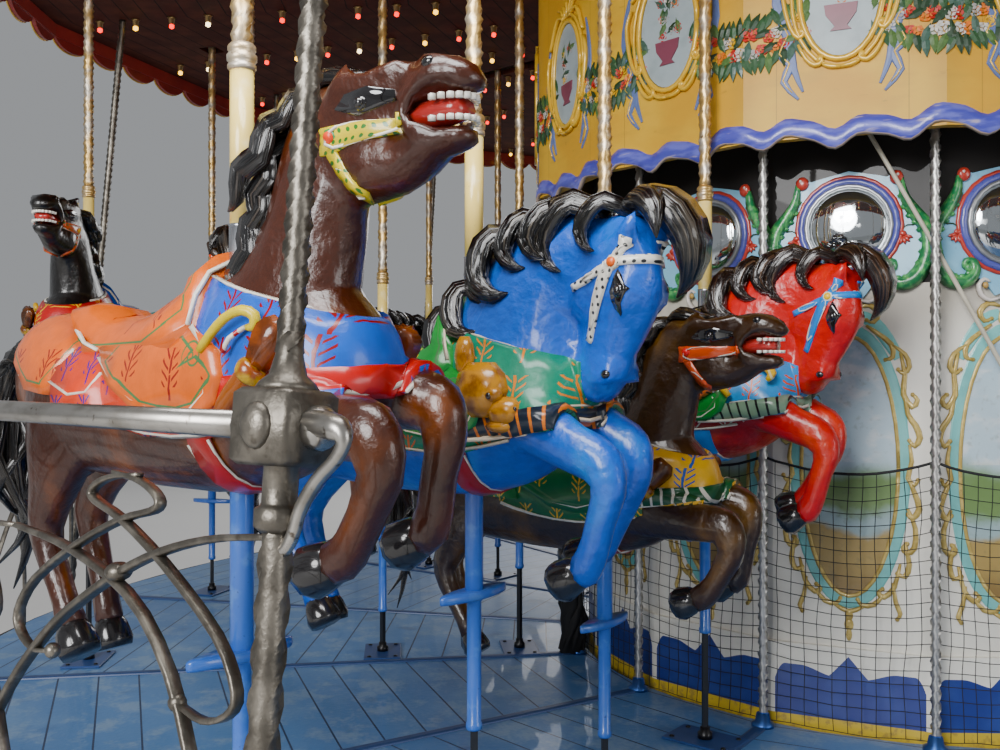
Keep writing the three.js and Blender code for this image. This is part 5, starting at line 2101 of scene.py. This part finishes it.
def make_canopy():
    dress("canopy_board", canopy_finish())
    # The waved ribbon is blue-violet with lighter streaks
    violet = worn_finish(
        "ribbon_blue", (0.055, 0.06, 0.38), 0.38, 0.0, (11, 4, (1, 1, 4)), (0.42, 0.62, 1, (0.12, 0.13, 0.52)),
        (14, 4, 0.62, 0.75, 0.8, (0.42, 0.36, 0.44), (1, 1, 5)), Coat_Weight=0.25
    )
    tan = plain_finish("ribbon_tan", (0.4, 0.3, 0.24), 0.5)
    band, kinds = ribbon_edge()
    edge = Piece()
    edge.add(band, violet)
    edge.finishes.append(tan)
    edge.finish_of = kinds
    edge.put("waved_ribbon_edge", "turning_frame", "light_blue")
    gold, blue, field, motif = medallion_shapes()
    bright = plain_finish("medallion_gold", (0.72, 0.44, 0.03), 0.3, 0.1, Coat_Weight=0.3)
    slate = plain_finish("ribbon_slate", (0.1, 0.15, 0.34), 0.45)
    mauve = plain_finish("medallion_field", (0.33, 0.4, 0.42), 0.45)
    wine = plain_finish("urn_wine", (0.2, 0.05, 0.08), 0.4)
    piece = Piece()
    seed = np.random.default_rng(5)
    roses, leaves = garland_hosts()
    for bay in range(BAYS):
        face = bay_frame(CANOPY_RADIUS, ROD_LEAD, bay)
        piece.add(moved(blue, face), slate, False)
        piece.add(moved(field, face), mauve, False)
        piece.add(moved(motif, face), wine, False)
        piece.add(moved(gold, face), bright)
        for k in range(9):
            share = (bay + 0.5) / BAYS + seed.uniform(-0.055, 0.055) / (2 * pi * CANOPY_RADIUS)
            add_spot(roses, share, 2.975 + 0.055 * (k % 3) + seed.uniform(-0.01, 0.01), seed, ROSE_COLORS, 0.025)
            add_spot(leaves, share, 2.99 + 0.05 * (k % 3), seed, LEAF_COLORS, 0.035)
    piece.put("gilt_medallions", "turning_frame", "gilt")
    paint = petal_finish()
    for name, shape, host in (("garland_roses", petal_rose(), roses), ("garland_leaves", leaf_shape(), leaves)):
        small = raw_mesh(shape)
        faced_out(small)
        grown = scattered(name, small, paint).grow(host_mesh(host[0], turn=host[1], size=host[2], petal=host[3]))
        place(grown, name, "turning_frame", "canvas")


# Ceiling with its lamps, and everything above


def ceiling_finish():
    made = Finish("ceiling_boards", (0.06, 0.014, 0.009), 0.75, 0.0, Specular_IOR_Level=0.15)
    gap = abs((in_bay(made, POST_LEAD)[1] / 0.11) % 1.0 - 0.5) > 0.47
    grain = made.noise(8, 5)
    made.paint((grain.eased(0.4, 0.7) * 0.7, (0.11, 0.028, 0.015)), (gap, (0.012, 0.006, 0.005)))
    made.relief(grain * 0.4 - gap * 1.0, 0.003)
    return made.material


def lamp_finish():
    made = Finish("lamp_glass", (0.9, 0.7, 0.4), 0.15, 0.0, Emission_Strength=5.0)
    for socket in ("Emission Color", "Base Color"):
        made.link(made.stored("glow"), socket)
    return made.material


def cup_shapes(points):
    """Brass lamp holders over the bulbs."""
    return merged(*[turned(((0.014, p.z + 0.012), (0.018, p.z + 0.04), (0.026, p.z + 0.046)), 6, (p.x, p.y))
                    for p in points])


def lamp_places():
    """Rows of lamps out along each sweep and midway between the sweeps."""
    spots, glows = [], []
    tints = (("ff1a08", 0.75), ("ffc030", 0.9), ("ffe6b0", 1.0))
    z = CEILING_BOTTOM - 0.048
    for bay in range(BAYS * 2):
        angle = POST_LEAD + bay * BAY_STEP / 2
        for k in range(11):
            radius = 2.0 + 0.21 * k
            at = polar(radius, angle, z)
            if min((at - polar(r, a, z)).length for r, a in horse_places()) < 0.09:
                continue
            order = (0, 0, 1, 0, 2, 0, 1, 0, 0, 2, 1) if bay % 2 else (0, 1, 0, 0, 1, 0, 0, 2, 0, 1, 0)
            tint, share = tints[order[k]]
            spots.append(at)
            glows.append((*(c * share for c in srgb(tint)), 1))
    return spots, glows


def roof_finish():
    """Red and cream tilt in radial stripes, with lapped seams."""
    made = Finish("striped_tilt", (0.5, 0.05, 0.035), 0.75)
    stripe = ((made.polar()[1] - POST_LEAD) / (BAY_STEP / 2)) % 2.0
    edge = abs((stripe % 1.0) - 0.5) > 0.485
    weave = made.noise(240, 2)
    stain = made.noise(2.6, 5)
    made.paint(
        (stripe > 1.0, (0.76, 0.7, 0.56)),
        (stain.eased(0.5, 0.75) * 0.35, (0.3, 0.22, 0.17)),
        (edge * 0.6, (0.22, 0.1, 0.07)),
    )
    made.gloss(0.66 + weave * 0.25)
    made.relief(weave * 0.5 + stain * 0.3, 0.002)
    return made.material


def rounding_finish():
    """Red boards: cream fields with a blue border outside, plain dark red inside."""
    made = Finish("rounding_boards", (0.26, 0.02, 0.018), 0.4, 0.0, Coat_Weight=0.25)
    u, deep, z, _ = in_bay(made, POST_LEAD)
    front = deep > BOARD_RADIUS * cos(radians(BAY_STEP / 2)) - 0.012
    field, border = (abs(u) < 0.7) * z.near(3.895, 0.235), (abs(u) < 0.74) * z.near(3.895, 0.275)
    tone = made.noise(7, 5)
    made.paint(
        (tone.eased(0.4, 0.7) * 0.6, (0.38, 0.04, 0.025)),
        (border * front, (0.03, 0.1, 0.4)),
        (field * front, made.mix(tone.eased(0.4, 0.7), (0.8, 0.74, 0.56), (0.66, 0.56, 0.36))),
        (made.noise(30, 4).eased(0.62, 0.76) * 0.4, (0.1, 0.05, 0.03)),
    )
    made.relief(tone, 0.002)
    return made.material


def rounding_shapes():
    """Mouldings, scallops, scrolls and bosses of one bay of the rounding boards."""
    gold, red = [], []
    half = BOARD_RADIUS * sin(radians(BAY_STEP / 2))
    for z, tall, deep in mm(((4215, 30, 22), (3585, 30, 22), (4165, 12, 12), (3635, 12, 12))):
        rows = []
        for u in (-half, half):
            rows.append([
                Vector((u, z + tall * share, out)) for share, out in ((-0.5, 0), (-0.25, deep), (0.25, deep), (0.5, 0))
            ])
        gold.append(rings(rows))
    count = 6
    for k in range(count):
        middle = -half + (k + 0.5) * 2 * half / count
        reach = half / count * 0.98
        drop = [(middle + reach * cos(a), 3.59 - 0.085 * sin(a)) for a in np.linspace(pi, 0, 11)]
        inner = list(reversed([(middle + reach * 0.999 * cos(a), 3.6) for a in (pi, 0)]))
        red.append(flat_plate(drop + inner, -0.006, -0.03))
        gold.append(ribbon(drop, 0.01, 0.0, -0.01, steps=1))
        gold.append(ball((middle, 3.565, -0.004), (0.018, 0.022, 0.008), 8, 4))
    for side in (-1, 1):
        for path, width in mm((
            (((120, 3900), (200, 3980), (320, 4000), (400, 3930), (360, 3860), (290, 3870), (280, 3920), (320, 3930)),
            26), (((380, 3880), (480, 3800), (580, 3800), (640, 3870), (610, 3940), (540, 3940), (530, 3890),
            (570, 3880)), 24), (((200, 3980), (240, 4060), (330, 4080), (360, 4040)), 18), (((140, 3860), (200, 3760),
            (300, 3730), (370, 3760)), 18),
        )):
            gold.append(ribbon([(side * u, z) for u, z in path], width, 0.022, 0.0, 0.5))
        gold.append(ball((side * half * 0.985, 3.895, 0.0), (0.035, 0.3, 0.03), 10, 7))
    shell = []
    for k in range(9):
        angle = radians(20 + 17.5 * k)
        tip = (0.115 * cos(angle), 3.86 + 0.125 * sin(angle))
        rib = [(0.02 * cos(angle), 3.86), (tip[0] * 0.6, 3.86 + (tip[1] - 3.86) * 0.6), tip]
        shell.append(ribbon(rib, 0.026, 0.028, 0.0, 0.4))
    gold += shell
    gold.append(ball((0, 3.845, 0.01), (0.035, 0.03, 0.024), 14, 9))
    return merged(*gold), merged(*red)


def finial_shape():
    """The finial's outline, as radius and height over its foot."""
    profile = mm((
        (315, 0), (322, 20), (322, 50), (300, 65), (160, 120), (100, 165), (75, 220), (62, 290), (85, 330),
        (135, 375), (152, 430), (135, 485), (85, 530), (50, 560), (36, 600), (45, 625), (32, 650), (14, 720),
        (4, 752),
    ))
    return turned([(radius, 5.515 + z) for radius, z in profile], 32)


def make_top():
    steel = plain_finish("painted_steel", (0.16, 0.17, 0.19), 0.42, 0.4)
    for node, finish in (
        ("ceiling", ceiling_finish()),
        ("sweeps", steel),
        ("mast", steel),
        ("centre_base", steel),
        ("rounding_boards", rounding_finish()),
        ("roof", roof_finish()),
    ):
        dress(node, finish)
    brass = plain_finish("gilding", (0.7, 0.43, 0.08), 0.28, 0.55)
    red = plain_finish("scallop_red", (0.24, 0.018, 0.015), 0.4, Coat_Weight=0.25)
    gold_shape, red_shape = rounding_shapes()
    piece = Piece()
    for bay in range(BAYS):
        face = bay_frame(BOARD_RADIUS, POST_LEAD, bay)
        piece.add(moved(gold_shape, face), brass)
        piece.add(moved(red_shape, face), red, False)
    piece.put("gilt_cornice", "turning_frame", "gilt")
    tip = Piece()
    tip.add(finial_shape(), brass)
    tip.put("turned_finial", "turning_frame", "gilt", "finial")
    spots, glows = lamp_places()
    lamps = bulbs("lamp_bulbs", 0.016, lamp_finish()).grow(host_mesh(spots, glow=glows))
    place(lamps, "lamp_bulbs", "turning_frame", "gilt")
    cups = Piece()
    cups.add(cup_shapes(spots), plain_finish("lamp_cups", (0.3, 0.2, 0.08), 0.35, 0.7))
    cups.put("lamp_cups", "turning_frame", "gilt")


# Camera, floor and light


def aim_camera():
    camera = bpy.data.cameras.new("camera")
    camera.lens = 36
    camera.sensor_width = 36
    camera.clip_end = 200
    holder = bpy.data.objects.new("camera", camera)
    holder.location = (-2.322, -4.716, 1.68)
    holder.rotation_euler = (radians(90), 0, radians(-5.62))
    bpy.context.scene.collection.objects.link(holder)
    bpy.context.scene.camera = holder


def lay_floor():
    made = Finish("studio_floor", (0.72, 0.71, 0.69), 0.8)
    made.paint((made.noise(0.6, 3).eased(0.4, 0.7) * 0.25, (0.64, 0.63, 0.61)))
    piece = Piece()
    corners = [Vector(p) for p in ((-30, -30, 0), (30, -30, 0), (30, 30, 0), (-30, 30, 0))]
    piece.add((corners, [[0, 1, 2, 3]]), made.material)
    mesh = piece.mesh("studio_floor")
    floor = bpy.data.objects.new("studio_floor", mesh)
    bpy.context.scene.collection.objects.link(floor)


def add_light(name, kind, location, target, energy, size=None, color=(1, 1, 1)):
    light = bpy.data.lights.new(name, kind)
    light.energy = energy
    light.color = color
    if kind == "AREA":
        light.shape = "DISK"
        light.size = size
    elif kind == "SUN":
        light.angle = size
    holder = bpy.data.objects.new(name, light)
    holder.location = location
    holder.rotation_euler = (Vector(target) - Vector(location)).to_track_quat("-Z", "Y").to_euler()
    bpy.context.scene.collection.objects.link(holder)


def light_scene():
    world = bpy.data.worlds.new("studio")
    world.use_nodes = True
    background = world.node_tree.nodes["Background"]
    background.inputs[0].default_value = (0.93, 0.96, 1.0, 1)
    background.inputs[1].default_value = 0.34
    bpy.context.scene.world = world
    add_light("key", "AREA", (-7.5, -9.5, 5.0), (-1.0, 0.0, 1.8), 1150, 5.0)
    add_light("fill", "AREA", (6.0, -9.0, 3.0), (0.0, 0.0, 1.8), 300, 5.0)
    add_light("back", "AREA", (2.0, 11.0, 6.0), (0.0, 0.0, 2.0), 500, 7.0)
    add_light("lift", "AREA", (-2.4, -3.2, 3.3), (-1.6, 0.5, 1.6), 60, 1.2)


light_scene()
lay_floor()
aim_camera()
make_horses()
make_railings()
make_rods_and_net()
make_platform()
make_centre()
make_canopy()
make_top()
